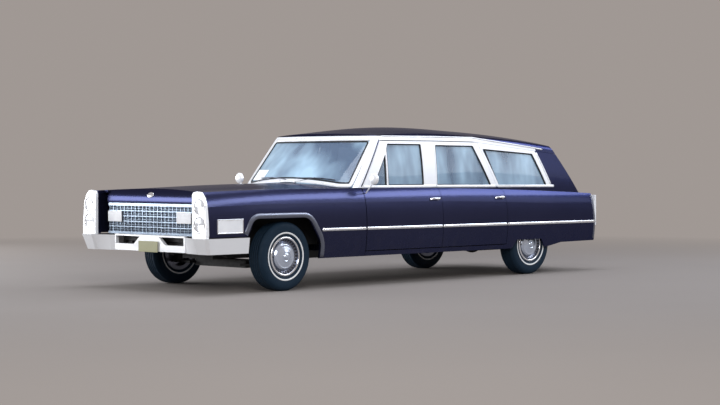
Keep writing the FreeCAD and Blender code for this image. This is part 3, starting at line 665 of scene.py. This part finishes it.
lacquer = lacquered("lacquer")
door_lacquer = lacquered("lacquer_and_frame", above_belt)
dress(lacquer, "hood", "cowl", "fender_left", "fender_right", "tail_door", "tail_sill")
dress(door_lacquer, "front_door_left", "front_door_right", "rear_door_left", "rear_door_right")
dress(lacquered("lacquer_and_quarter_frame", ahead_of_strip), "body_side_left", "body_side_right")
dress(lacquered("lacquer_and_gutter", below_gutter), "roof")
dress(lacquered("lacquer_and_header", below_header), "windshield_frame")
# near-white and mostly unmetallic: partly painted reflection, standing in for the chrome's glare. The beads,
# reveals, mirrors, bezels and tail lamp frames wear it too.
bright_frame = plated("frame_plating_glare", FRAME_GLARE_WHITE, 0.28, FRAME_METALLIC)
vinyl = finish("lining_vinyl", (0.10, 0.11, 0.15), 0.6, grain=300.0, depth=0.3)
dress(vinyl, "center_pillars")


# ---------------------------------------------------------------- glass
# Flat-drawn safety glass, lightly blue, set in rubber channels, with paler sky-blue patches
# painted on it as a painted reflection.
def pane(name, tint, pale, alpha, scale=2.4):
    """Glass with a painted reflection: paler, more opaque and a little rougher in soft upright patches."""
    shade = Shade(name, tint, 0.03, Coat_Weight=1.0, Coat_Roughness=0.02)
    # painted reflection: soft upright patches where the glass turns paler, more opaque and a little rougher
    reflection_patches = shade.ramp(shade.noise(scale, 3.0, (1.0, 1.0, 0.35)), 0.36, 0.66)
    shade.set("Base Color", shade.mix(reflection_patches, tint, pale))
    shade.set("Roughness", shade.ramp(reflection_patches, 0.0, 1.0, 0.03, 0.08))
    shade.set("Alpha", shade.ramp(reflection_patches, 0.0, 1.0, alpha, alpha + 0.22))
    return shade.material


# the pale sky blue of the painted reflection on the glass
SKY_REFLECTION = (0.58, 0.82, 1.0)
window_glass = pane("window_glass", (0.17, 0.25, 0.37), SKY_REFLECTION, 0.50)
dress(window_glass, *[n for n in nodes if "glass" in n])
dress(pane("windshield_glass", (0.17, 0.25, 0.38), SKY_REFLECTION, 0.50, 1.8), "windshield")


# ---------------------------------------------------------------- side window seals
# Black rubber channels that hold the side glass, pushed into the openings just inside the
# bright frames.
def sweep(path, outs, profile, closed=False):
    """Verts and faces of a profile of (across, out) points carried along a path."""
    count = len(path)
    verts = []
    for n in range(count):
        ahead = path[(n + 1) % count if closed else min(n + 1, count - 1)]
        behind = path[(n - 1) % count if closed else max(n - 1, 0)]
        along = (ahead - behind).normalized()
        out = (outs[n] - along * outs[n].dot(along)).normalized()
        across = along.cross(out)
        for a, b in profile:
            verts.append(path[n] + across * a + out * b)
    size = len(profile)
    faces = []
    for n in range(count if closed else count - 1):
        m = (n + 1) % count
        for k in range(size):
            j = (k + 1) % size
            faces.append((n * size + k, n * size + j, m * size + j, m * size + k))
    if not closed:
        faces.append(tuple(range(size - 1, -1, -1)))
        faces.append(tuple((count - 1) * size + k for k in range(size)))
    return verts, faces


def flat_bar(width, height, sunk):
    """A flat section with its outer corners cut off, as (across, out)."""
    half = width / 2
    cut = min(half, height) * 0.4
    left = [(-half + cut, height), (-half, height - cut), (-half, 0), (-half, -sunk)]
    return [(half, 0), (half, height - cut), (half - cut, height), *left, (half, -sunk)]


def surface(*names):
    """The outside of some carried-over solids, to lay trim on."""
    verts = []
    faces = []
    for name in names:
        base = len(verts)
        verts += [v.co.copy() for v in nodes[name].data.vertices]
        faces += [[base + i for i in p.vertices] for p in nodes[name].data.polygons]
    return BVHTree.FromPolygons(verts, faces)


def resample(points, step):
    """A polyline of vectors cut into equal short runs."""
    out = [points[0].copy()]
    for a, b in zip(points, points[1:]):
        runs = max(1, round((b - a).length / step))
        out += [a.lerp(b, (n + 1) / runs) for n in range(runs)]
    return out


def rounded(points, radius, closed=True, steps=5):
    """A flat outline with its corners rounded."""
    out = []
    count = len(points)
    for n, corner in enumerate(points):
        if not closed and n in (0, count - 1):
            out.append(corner.copy())
            continue
        before = points[n - 1]
        after = points[(n + 1) % count]
        first = corner + (before - corner).normalized() * radius
        last = corner + (after - corner).normalized() * radius
        for k in range(steps + 1):
            t = k / steps
            out.append(first.lerp(corner, t).lerp(corner.lerp(last, t), t))
    return out


def rounded_side(points, radius, closed=True):
    """An outline of (x, z) points, seen from the side, with its corners rounded."""
    corners = [Vector((x, 0, z)) for x, z in points]
    return [(p.x, p.z) for p in rounded(corners, radius, closed)]


# a distance to the side at which nothing of the car is in the way
BESIDE_CAR = 1.4


def on_side(tree, points, side, step=0.03, closed=False):
    """Points (x, z) thrown sideways onto a surface: places and outward directions."""
    flat = [Vector((x, 0, z)) for x, z in points]
    if closed:
        flat.append(flat[0].copy())
    places = []
    outs = []
    inwards = Vector((0, -side, 0))
    for p in resample(flat, step):
        place, normal, _, _ = tree.ray_cast(Vector((p.x, side * BESIDE_CAR, p.z)), inwards)
        if place is None:
            continue
        if normal.y * side < 0:
            normal = -normal
        places.append(place)
        outs.append(normal)
    if closed:
        places.pop()
        outs.pop()
    return places, outs


def side_trim(name, body, names, points, profile, material, side, closed=False):
    """A strip laid along (x, z) points on the side of some solids."""
    places, outs = on_side(surface(*names), points, side, closed=closed)
    verts, faces = sweep(places, outs, profile, closed)
    return piece(name, verts, faces, material, body)


def sided(name, label):
    """The name of a piece on one side, or of the one piece that serves both."""
    return name if name == "body" or name in nodes else "%s_%s" % (name, label)


# part: body, glass, outline as (x, z), radius of its corners
WINDOWS = {
    "vent": ("front_door", "front_door_glass", [(0.700, 1.063), (0.508, 1.063), (0.484, 1.385)], 0.006),
    "front": (
        "front_door", "front_door_glass",
        [(0.472, 1.064), (-0.089, 1.064), (-0.108, 1.509), (0.424, 1.509), (0.446, 1.460)], 0.018,
    ),
    "rear": (
        "rear_door", "rear_door_glass",
        [(-0.314, 1.063), (-1.235, 1.049), (-0.994, 1.497), (-0.351, 1.501)], 0.018,
    ),
    "quarter": (
        "body", "quarter_glass",
        [(-1.373, 1.041), (-2.279, 1.041), (-2.083, 1.411), (-1.149, 1.462)], 0.018,
    ),
}
CHANNEL = flat_bar(0.013, 0.014, 0.001)
for label, side in SIDES:
    for part, (body, glass, outline, radius) in WINDOWS.items():
        name = "%s_window_seal_%s" % (part, label)
        loop = rounded_side(outline, radius)
        panes = [sided(glass, label)]
        side_trim(name, sided(body, label), panes, loop, CHANNEL, seal_rubber, side, True)

# ---------------------------------------------------------------- windshield trim
# A rubber seal inside a wide bright reveal moulding round the windshield, and a blank paper
# slip stuck to the glass in its lower right corner.
shield = surface("windshield", "windshield_frame")
SHIELD_HALF_FOOT = 0.812
SHIELD_HALF_TOP = 0.762
SHIELD_TOP = 1.566
SHIELD_FOOT = 1.110
SHIELD_BOW = 0.115
SHIELD_LOWEST = 1.056
SHIELD_CORNER = 0.024
FOOT_RUNS = 24


def on_shield(y, z):
    """The place on the windshield seen from ahead at (y, z), and its outward direction."""
    place, normal, _, _ = shield.ray_cast(Vector((2.5, y, z)), Vector((-1, 0, 0)))
    return place, (normal if normal.x > 0 else -normal)


def shield_ring(name, inset, profile, material):
    """Trim carried round the windshield's outline, drawn in by a margin."""
    half = SHIELD_HALF_FOOT - inset
    loop = []
    for n in range(FOOT_RUNS + 1):
        y = -half + 2 * half * n / FOOT_RUNS
        loop.append(Vector((0, y, max(SHIELD_LOWEST, SHIELD_FOOT - SHIELD_BOW * y * y) + inset)))
    for side in (1, -1):
        loop.append(Vector((0, side * (SHIELD_HALF_TOP - inset), SHIELD_TOP - inset)))
    outline = rounded(loop, SHIELD_CORNER)
    places = [on_shield(p.y, p.z) for p in resample(outline + [outline[0]], 0.04)[:-1]]
    verts, faces = sweep([place for place, _ in places], [out for _, out in places], profile, True)
    piece(name, verts, faces, material, "body")


shield_ring("windshield_seal", 0.032, flat_bar(0.016, 0.009, 0.001), seal_rubber)
shield_ring("windshield_reveal", 0.004, flat_bar(0.046, 0.008, 0.004), bright_frame)
SLIP_ROWS = 4
SLIP_COLUMNS = 8
SLIP_Y = -0.758
SLIP_Z = 1.112
SLIP_WIDTH = 0.27
SLIP_HEIGHT = 0.115
SLIP_LEAN = 0.012
verts = []
faces = []
for row in range(SLIP_ROWS + 1):
    for column in range(SLIP_COLUMNS + 1):
        y = SLIP_Y + SLIP_WIDTH * column / SLIP_COLUMNS + SLIP_LEAN * row / SLIP_ROWS
        place, out = on_shield(y, SLIP_Z + SLIP_HEIGHT * row / SLIP_ROWS)
        verts.append(place + out * 0.0012)
        if row < SLIP_ROWS and column < SLIP_COLUMNS:
            first = row * (SLIP_COLUMNS + 1) + column
            above = first + SLIP_COLUMNS + 1
            faces.append((first, first + 1, above + 1, above))
paper = finish("paper_slip", (0.86, 0.88, 0.90), 0.8, vary=0.03, grain=400.0)
piece("windshield_slip", verts, faces, paper, "body", False)


# ---------------------------------------------------------------- body side mouldings
# A bright stainless strip, clipped along each panel of the body side, broken at the seams.
# It falls a little towards the back.
def half_round(width, height, sunk=0.003):
    """A domed section, as (across, out)."""
    turns = [math.pi * n / 8 for n in range(9)]
    top = [(math.cos(t) * width / 2, math.sin(t) * height) for t in turns]
    return top + [(-width / 2, -sunk), (width / 2, -sunk)]


def beads(kind, runs, level, profile, material, label, side):
    """A strip along each panel of a side. level gives its height at a place along the car."""
    for part, body, node, start, end in runs:
        name = "%s_moulding_%s_%s" % (kind, part, label)
        points = [(x, level(x)) for x in (start, end)]
        side_trim(name, sided(body, label), [sided(node, label)], points, profile, material, side)


def side_level(x):
    return 0.597 + (x + 3.1) * 0.0035


# part, body, panel, front end, rear end
SIDE_RUNS = [
    ("fender", "body", "fender", 1.575, 0.924),
    ("front_door", "front_door", "front_door", 0.909, -0.290),
    ("rear_door", "rear_door", "rear_door", -0.302, -1.407),
    ("quarter", "body", "body_side", -1.419, -3.125),
]
for label, side in SIDES:
    beads("side", SIDE_RUNS, side_level, half_round(0.034, 0.011), plating, label, side)


# ---------------------------------------------------------------- belt and gutter mouldings
# Stainless beads: one along the foot of the window frames, one along the roof gutter and one
# down the last pillar, with a thin painted seam up the windshield pillar.
def belt_level(x):
    return 1.049 - 0.006 * max(0, -x)


# part, body, panel, front end, rear end
BELT_RUNS = [
    ("front_door", "front_door", "front_door", 0.868, -0.290),
    ("rear_door", "rear_door", "rear_door", -0.302, -1.315),
    ("quarter", "body", "body_side", -1.355, -2.42),
]
# paths as (x, z)
GUTTER = [(0.49, 1.592), (-0.318, 1.597), (-1.0, 1.593), (-2.0, 1.501), (-2.30, 1.470)]
PILLAR_SEAM = [
    (0.898, 1.052), (0.862, 1.10), (0.793, 1.20), (0.723, 1.30), (0.653, 1.40), (0.584, 1.50), (0.545, 1.555),
]
PILLAR_STRIP = [(-2.362, 1.052), (-2.152, 1.46)]
# name, what it lies on, path, section, finish
BODY_BEADS = (
    ("gutter_moulding_", ("roof", "windshield_frame"), GUTTER, half_round(0.018, 0.012), bright_frame),
    ("pillar_seam_", ("windshield_frame",), PILLAR_SEAM, half_round(0.016, 0.003), lacquer),
    ("rear_pillar_strip_", ("body_side",), PILLAR_STRIP, half_round(0.026, 0.007), bright_frame),
)
for label, side in SIDES:
    beads("belt", BELT_RUNS, belt_level, half_round(0.030, 0.007), bright_frame, label, side)
    for name, carriers, path, profile, material in BODY_BEADS:
        carried_by = [sided(carrier, label) for carrier in carriers]
        side_trim(name + label, "body", carried_by, path, profile, material, side)

# ---------------------------------------------------------------- wheel arch mouldings
# A wide brushed stainless lip round each front wheel arch, bent to the arch's straight-sided
# outline and riveted to the fender.
ARCH = [(1.556, 0.330), (1.556, 0.500), (1.742, 0.772), (2.535, 0.772), (2.628, 0.590)]
arch_path = rounded_side(ARCH, 0.1, False)
for label, side in SIDES:
    fender = ["fender_" + label]
    arch_lip = half_round(0.052, 0.010)
    side_trim("arch_moulding_" + label, "body", fender, arch_path, arch_lip, satin_plating, side)

# ---------------------------------------------------------------- door handles
# A fixed chrome pull on each side door, with a push button under its rear end, screwed
# through the skin from inside.
PULL_BOW = 0.030
PULL_FOOT = 0.002
PULL_RISE = 5


def pull(name, body, places, outs):
    """A bowed bar that stands off a skin on its two feet."""
    path = []
    last = len(places) - 1
    for n, (place, out) in enumerate(zip(places, outs)):
        t = n / last
        path.append(place + out * (PULL_BOW * min(1, PULL_RISE * t, PULL_RISE * (1 - t)) + PULL_FOOT))
    verts, faces = sweep(path, outs, flat_bar(0.021, 0.011, 0.0))
    piece(name, verts, faces, plating, body, True, 0.002)


# door, front end, rear end
HANDLES = [("front_door", -0.105, -0.262), ("rear_door", -1.225, -1.382)]
BUTTON_AHEAD = 0.03
HANDLE_HEIGHT = 0.905
BUTTON_HALF = 0.02
BUTTON = [(0.0, 0.017), (0.008, 0.0165), (0.011, 0.014), (0.012, 0.0), (0.016, 0.0), (0.017, -0.004)]
for label, side in SIDES:
    for part, front_x, rear_x in HANDLES:
        door = "%s_%s" % (part, label)
        skin = surface(door)
        places, outs = on_side(skin, [(front_x, HANDLE_HEIGHT), (rear_x, HANDLE_HEIGHT)], side, 0.012)
        pull("handle_pull_" + door, door, places, outs)
        button_x = rear_x + BUTTON_AHEAD
        foot = (button_x, HANDLE_HEIGHT - BUTTON_HALF)
        head = (button_x, HANDLE_HEIGHT + BUTTON_HALF)
        places, outs = on_side(skin, [foot, head], side, 0.04)
        centre = tuple((places[0] + places[-1]) / 2)
        name = "handle_button_" + door
        turned(name, BUTTON, centre, plating, door, side=side, steps=32)

# ---------------------------------------------------------------- mirrors
# A round bright head on a thin stalk, screwed to the top of each front door, with its
# silvered glass facing back.
dress(bright_frame, "mirror_left", "mirror_right")
silver = plated("reflector", (0.93, 0.94, 0.96), 0.08)
MIRROR_OUT = 1.070
MIRROR_HEIGHT = 1.133
MIRROR_FACE = [(0.0, 0.0), (0.050, 0.0), (0.052, -0.0015), (0.054, 0.002)]
for label, side in SIDES:
    low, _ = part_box("mirror_" + label)
    name = "mirror_glass_" + label
    centre = (low.x + 0.0005, side * MIRROR_OUT, MIRROR_HEIGHT)
    turned(name, MIRROR_FACE, centre, silver, "front_door_" + label, "x", -1, 40)

# ---------------------------------------------------------------- wipers
# Two stainless wiper arms on pivots through the cowl, with slim bright-backed blades parked
# along the foot of the windshield.
WIPER_PIVOT = [(0.0, 0.017), (0.007, 0.016), (0.010, 0.012), (0.011, -0.020)]
PIVOT_HEIGHT = 1.094
BLADE_HEIGHT = 1.132
BLADE_BOW = 0.012
BLADE_FALL = 0.014
BLADE_OUT = 0.010
BLADE_RUNS = 12
ARM_RUNS = 4
# side, y of the pivot, y of the blade's other end
for label, pivot_y, tip_y in (("left", 0.12, 0.62), ("right", -0.52, -0.02)):
    path = []
    outs = []
    for n in range(BLADE_RUNS + 1):
        t = n / BLADE_RUNS
        z = BLADE_HEIGHT + BLADE_BOW * math.sin(math.pi * t) - BLADE_FALL * t
        place, out = on_shield(pivot_y + (tip_y - pivot_y) * t, z)
        path.append(place + out * BLADE_OUT)
        outs.append(out)
    verts, faces = sweep(path, outs, flat_bar(0.007, 0.005, 0.011))
    piece("wiper_blade_" + label, verts, faces, satin_plating, "body", True)
    base, base_out = on_shield(pivot_y, PIVOT_HEIGHT)
    start = base + base_out * BLADE_OUT
    out = outs[BLADE_RUNS // 2]
    end = path[BLADE_RUNS // 2] + out * 0.005
    arm = [start.lerp(end, n / ARM_RUNS) for n in range(ARM_RUNS + 1)]
    arm_outs = [base_out.lerp(out, n / ARM_RUNS).normalized() for n in range(ARM_RUNS + 1)]
    verts, faces = sweep(arm, arm_outs, flat_bar(0.009, 0.004, 0.003))
    piece("wiper_arm_" + label, verts, faces, satin_plating, "body", True)
    centre = tuple(base)
    turned("wiper_pivot_" + label, WIPER_PIVOT, centre, plating, "body", "x", 1, 24)

# ---------------------------------------------------------------- grille
# A die-cast egg-crate: fine upright and level bars behind the main ones, and a dark sheet
# behind them.
grille_plating = plated("grille_plating", (0.28, 0.34, 0.42), 0.20, 0.75)
dress(grille_plating, "grille")
GRILLE_HALF = 0.672
BARS_EACH_SIDE = 22
BAR_PITCH = 0.03
BAR_HALF = 0.0015
BAR_BACK = 3.028
UPRIGHT_FRONT = 3.044
UPRIGHT_LEVELS = (0.600, 0.864)
LEVEL_FRONT = 3.046
LEVEL_HEIGHTS = (0.624, 0.674, 0.728, 0.782, 0.836)
bars = []
for n in range(-BARS_EACH_SIDE, BARS_EACH_SIDE + 1):
    y = BAR_PITCH * n
    foot, head = UPRIGHT_LEVELS
    bars.append(((BAR_BACK, y - BAR_HALF, foot), (UPRIGHT_FRONT, y + BAR_HALF, head)))
for z in LEVEL_HEIGHTS:
    bars.append(((BAR_BACK, -GRILLE_HALF, z - BAR_HALF), (LEVEL_FRONT, GRILLE_HALF, z + BAR_HALF)))
blocks("grille_bars", bars, grille_plating, "body", 0.0006)
grille_dark = finish("grille_dark", (0.06, 0.075, 0.11), 0.5, grain=60.0)
backing = [((3.004, -GRILLE_HALF, 0.604), (3.008, GRILLE_HALF, 0.888))]
blocks("grille_backing", backing, grille_dark, "body")

# ---------------------------------------------------------------- lamps
# Two round sealed lamps one above the other on each side in a bright bezel, with ribbed turn,
# cornering and tail lenses screwed on.
dress(bright_frame, "headlamp_bezels")
dress(silver, "headlamps")
white_lens = finish("white_lens", (0.88, 0.90, 0.96), 0.15, grain=70.0, depth=0.1, Coat_Weight=1.0)
red_lens = finish("red_lens", (0.35, 0.008, 0.01), 0.12, grain=70.0, depth=0.1, Coat_Weight=1.0)
dress(white_lens, "turn_lamps", "cornering_lamps")
dress(red_lens, "tail_lamps")
lamp_glass = pane("lamp_glass", (0.82, 0.85, 0.90), (0.95, 0.97, 1.0), 0.45)
LAMP_X = 3.110
LAMP_OUT = 0.884
LAMP_HEIGHTS = (("lower", 0.700), ("upper", 0.872))
# profiles as (radius, out)
BOWL = [(0.0, 0.023), (0.02, 0.0225), (0.05, 0.026), (0.070, 0.029), (0.078, 0.034)]
LENS = [(0.0, 0.0375), (0.03, 0.0368), (0.058, 0.0345), (0.074, 0.0315), (0.078, 0.029)]
RIM = [
    (0.0745, 0.030), (0.0755, 0.0345), (0.0795, 0.0365), (0.0845, 0.0355), (0.087, 0.0335), (0.086, 0.028),
]
FLUTES = 22
FLUTE_START = 2.682
FLUTE_PITCH = 0.0145
FLUTE_WIDTH = 0.006
FLUTE_LEVELS = (0.616, 0.737)
FLUTE_SUNK = 0.002
FLUTE_PROUD = 0.0015
# how far the rim of the cornering lamp reaches past its lens, over it and behind it
REACH = 0.004
LAP = 0.005
RIM_SUNK = 0.008
for label, side in SIDES:
    for place, z in LAMP_HEIGHTS:
        centre = (LAMP_X, side * LAMP_OUT, z)
        tag = "%s_%s" % (place, label)
        turned("lamp_bowl_" + tag, BOWL, centre, silver, "body", "x", 1, 48)
        turned("lamp_lens_" + tag, LENS, centre, lamp_glass, "body", "x", 1, 48)
        turned("lamp_rim_" + tag, RIM, centre, plating, "body", "x", 1, 48, True)
    low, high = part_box("cornering_lamps")
    y0, y1 = sorted((side * (high.y - FLUTE_SUNK), side * (high.y + FLUTE_PROUD)))
    foot, head = FLUTE_LEVELS
    flutes = []
    for n in range(FLUTES):
        x = FLUTE_START + n * FLUTE_PITCH
        flutes.append(((x, y0, foot), (x + FLUTE_WIDTH, y1, head)))
    blocks("cornering_flutes_" + label, flutes, white_lens, "body", 0.001)
    y0, y1 = sorted((side * (high.y - RIM_SUNK), side * (high.y + REACH)))
    rim_bars = [
        ((low.x - REACH, y0, low.z - REACH), (high.x + REACH, y1, low.z + LAP)),
        ((low.x - REACH, y0, high.z - LAP), (high.x + REACH, y1, high.z + REACH)),
        ((low.x - REACH, y0, low.z), (low.x + LAP, y1, high.z)),
        ((high.x - LAP, y0, low.z), (high.x + REACH, y1, high.z)),
    ]
    blocks("cornering_surround_" + label, rim_bars, plating, "body", 0.0015)

# ---------------------------------------------------------------- bumpers and plates
# Pressed bumpers, plated and bolted to the rails, each with a blank enamelled plate bolted
# to its middle.
bumper_plating = plated("bumper_plating", (0.93, 0.94, 0.96), 0.22, 0.35)
dress(bumper_plating, "front_bumper", "rear_bumper")
enamel = finish("plate_enamel", (0.30, 0.29, 0.15), 0.35, vary=0.08)
PLATE_HALF = 0.1524
# name, (x, z) of its low corner, (x, z) of its high corner
PLATES = (
    ("front_plate", (3.071, 0.402), (3.075, 0.512)),
    ("rear_plate", (-3.118, 0.405), (-3.114, 0.535)),
)
for name, (x0, z0), (x1, z1) in PLATES:
    plate = [((x0, -PLATE_HALF, z0), (x1, PLATE_HALF, z1))]
    blocks(name, plate, enamel, "body", 0.001)

# ---------------------------------------------------------------- hood badge
# A plain oval boss of polished metal with no device on it, screwed to the middle of the
# hood's nose.
BADGE_HEIGHT = 0.978
nose = surface("hood")
middle, out, _, _ = nose.ray_cast(Vector((3.6, 0.0, BADGE_HEIGHT)), Vector((-1, 0, 0)))
out = out if out.x > 0 else -out
up = out.cross(Vector((0, 1, 0))).normalized()
up = up if up.z > 0 else -up
BADGE_HALF_WIDTH = 0.050
BADGE_HALF_HEIGHT = 0.030
BADGE_STEPS = 32
# rings from its middle outwards, as (share of its half width, height)
BADGE_RINGS = ((0.0, 0.0085), (0.45, 0.008), (0.75, 0.006), (0.95, 0.003), (1.0, 0.0), (1.01, -0.008))
verts = []
faces = []
for scale, lift in BADGE_RINGS:
    for n in range(BADGE_STEPS):
        angle = 2 * math.pi * n / BADGE_STEPS
        across = Vector((0, BADGE_HALF_WIDTH * scale * math.cos(angle), 0))
        rise = up * BADGE_HALF_HEIGHT * scale * math.sin(angle)
        verts.append(middle + across + rise + out * lift)
for row in range(len(BADGE_RINGS) - 1):
    inner = row * BADGE_STEPS
    outer = inner + BADGE_STEPS
    for n in range(BADGE_STEPS):
        m = (n + 1) % BADGE_STEPS
        faces.append((inner + n, inner + m, outer + m, outer + n))
piece("hood_badge", verts, faces, plating, "hood")

# ---------------------------------------------------------------- tail trim
# Bright frames screwed round the tail lamps, a bead down each rear edge of the body, a reveal
# round the tail glass and a fixed pull on the tail door.
TAIL_LAMP_WIDTH = 0.054
TAIL_FRAME_FRONT = -3.128
OUTER_BAR_FRONT = -3.122
TAIL_PLATE_BACK = -3.131
TAIL_PLATE_FRONT = -3.124
TAIL_FRAME_OUT = 0.008
TAIL_FRAME_TALL = 0.010
TAIL_FRAME_LAP = 0.003
TAIL_EDGE = [(-3.112, z) for z in (0.335, 0.60, 0.80, 0.915)]
for label, side in SIDES:
    low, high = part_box("tail_lamps")
    inner = side * (high.y - TAIL_LAMP_WIDTH)
    outer = side * high.y
    foot = low.z - TAIL_FRAME_TALL
    head = high.z + TAIL_FRAME_TALL
    bars = []
    # across from, across to, bottom, top, front
    for first, second, bottom, top, front in (
        (inner - side * TAIL_FRAME_OUT, inner + side * TAIL_FRAME_LAP, foot, head, TAIL_FRAME_FRONT),
        (outer - side * TAIL_FRAME_LAP, outer + side * TAIL_FRAME_OUT, foot, head, OUTER_BAR_FRONT),
        (inner, outer, foot, low.z + TAIL_FRAME_LAP, TAIL_FRAME_FRONT),
        (inner, outer, high.z - TAIL_FRAME_LAP, head, TAIL_FRAME_FRONT),
    ):
        y0, y1 = sorted((first, second))
        bars.append(((low.x - TAIL_FRAME_LAP, y0, bottom), (front, y1, top)))
    # a thin plate closes the gap between the lamp and the body
    y0, y1 = sorted((inner, outer))
    bars.append(((TAIL_PLATE_BACK, y0, low.z), (TAIL_PLATE_FRONT, y1, head)))
    blocks("tail_lamp_frame_" + label, bars, bright_frame, "body", 0.002)
    body_side = ["body_side_" + label]
    edge_bead = half_round(0.030, 0.005)
    side_trim("tail_edge_moulding_" + label, "body", body_side, TAIL_EDGE, edge_bead, satin_plating, side)
tail = surface("tail_door")


def on_tail(y, z):
    """The place on the tail door seen from behind at (y, z), and its outward direction."""
    place, normal, _, _ = tail.ray_cast(Vector((-4.0, y, z)), Vector((1, 0, 0)))
    return place, (normal if normal.x < 0 else -normal)


TAIL_PULL_Y = -0.47
TAIL_PULL_LENGTH = 0.16
TAIL_PULL_HEIGHT = 0.90
TAIL_PULL_RUNS = 12
grip = []
for n in range(TAIL_PULL_RUNS + 1):
    grip.append(on_tail(TAIL_PULL_Y - TAIL_PULL_LENGTH * n / TAIL_PULL_RUNS, TAIL_PULL_HEIGHT))
pull("tail_handle", "tail_door", [place for place, _ in grip], [out for _, out in grip])
# corners of the tail window as (y, z)
TAIL_WINDOW = ((-0.553, 1.012), (0.553, 1.012), (0.528, 1.380), (-0.528, 1.380))
outline = rounded([Vector((0, y, z)) for y, z in TAIL_WINDOW], 0.03)
places = [on_tail(p.y, p.z) for p in resample(outline + [outline[0]], 0.03)[:-1]]
places = [pair for pair in places if pair[0] is not None]
reveal = flat_bar(0.022, 0.007, 0.002)
verts, faces = sweep([place for place, _ in places], [out for _, out in places], reveal, True)
piece("tail_window_reveal", verts, faces, bright_frame, "tail_door")

# ---------------------------------------------------------------- door linings
# Vinyl-covered boards clipped inside each door, sewn in upright flutes, with a padded armrest,
# a release lever and a window winder on the four side doors.
LINING_ROWS = 12
LINING_PAD = 0.004
FLUTE_COLUMNS = 4
FLUTE_SWELL = 0.003
EDGE_TUCK = 0.002


def lining(name, body, origin, ray, across, width, height, flutes):
    """A thin padded board laid on the inner face of a door, its edges tucked against it."""
    inside = surface(body)
    columns = flutes * FLUTE_COLUMNS
    rows = LINING_ROWS
    verts = []
    faces = []
    for row in range(rows + 1):
        # the flutes run between two plain bands
        fluted = 2 < row < rows - 1
        for column in range(columns + 1):
            start = origin + across * (width * column / columns) + Vector((0, 0, height * row / rows))
            place, _, _, _ = inside.ray_cast(start, ray)
            wave = abs(math.sin(math.pi * column / FLUTE_COLUMNS))
            swell = LINING_PAD + FLUTE_SWELL * wave * fluted
            if row in (0, rows) or column in (0, columns):
                swell = -EDGE_TUCK
            verts.append(place - ray * swell)
            if row < rows and column < columns:
                first = row * (columns + 1) + column
                above = first + columns + 1
                faces.append((first, first + 1, above + 1, above))
    piece(name, verts, faces, vinyl, body)
    return inside


# door, front end, rear end
LININGS = [("front_door", 0.74, -0.21), ("rear_door", -0.45, -1.27)]
LINING_FOOT = 0.45
LINING_HEIGHT = 0.52
LINING_FLUTES = 20
ARMREST_REAR = 0.12
ARMREST_LEVELS = (0.70, 0.745)
ARMREST_LENGTH = 0.38
ARMREST_DEPTH = 0.055
WINDER_X = 0.5
WINDER_HEIGHT = 0.80
WINDER_DISC = [(0.0, 0.024), (0.012, 0.0235), (0.022, 0.019), (0.024, 0.004)]
# bars as (start, end, near, far, foot, head), from the armrest's rear end and the lining: the
# winder's arm and knob, then the release lever's stub and lever
WINDER_BARS = (
    (0.494, 0.506, 0.016, 0.024, 0.80, 0.885),
    (0.491, 0.509, 0.020, 0.045, 0.873, 0.891),
    (0.36, 0.375, 0.0, 0.022, 0.872, 0.890),
    (0.25, 0.375, 0.013, 0.022, 0.874, 0.888),
)
for label, side in SIDES:
    for part, front_x, rear_x in LININGS:
        door = "%s_%s" % (part, label)
        ray = Vector((0, side, 0))
        start = Vector((rear_x, side * 0.5, LINING_FOOT))
        along = Vector((1, 0, 0))
        length = front_x - rear_x
        inside = lining(
            "lining_" + door, door, start, ray, along, length, LINING_HEIGHT, LINING_FLUTES
        )
        rest_x = rear_x + ARMREST_REAR
        face, _, _, _ = inside.ray_cast(Vector((rest_x + 0.2, 0, 0.72)), ray)
        y0, y1 = sorted((face.y, face.y - side * ARMREST_DEPTH))
        foot, head = ARMREST_LEVELS
        armrest = [((rest_x, y0, foot), (rest_x + ARMREST_LENGTH, y1, head))]
        blocks("armrest_" + door, armrest, leather, door, 0.014)
        face, _, _, _ = inside.ray_cast(Vector((rest_x + WINDER_X, 0, WINDER_HEIGHT)), ray)
        centre = (rest_x + WINDER_X, face.y, WINDER_HEIGHT)
        name = "winder_" + door
        turned(name, WINDER_DISC, centre, plating, door, side=-side, steps=32)
        winder = []
        for rear, front, near, far, foot, head in WINDER_BARS:
            y0, y1 = sorted((face.y - side * near, face.y - side * far))
            winder.append(((rest_x + rear, y0, foot), (rest_x + front, y1, head)))
        blocks("winder_arm_" + door, winder, plating, door, 0.002)
start = Vector((-2.2, -0.58, 0.62))
lining("lining_tail_door", "tail_door", start, Vector((-1, 0, 0)), Vector((0, 1, 0)), 1.16, 0.34, 24)
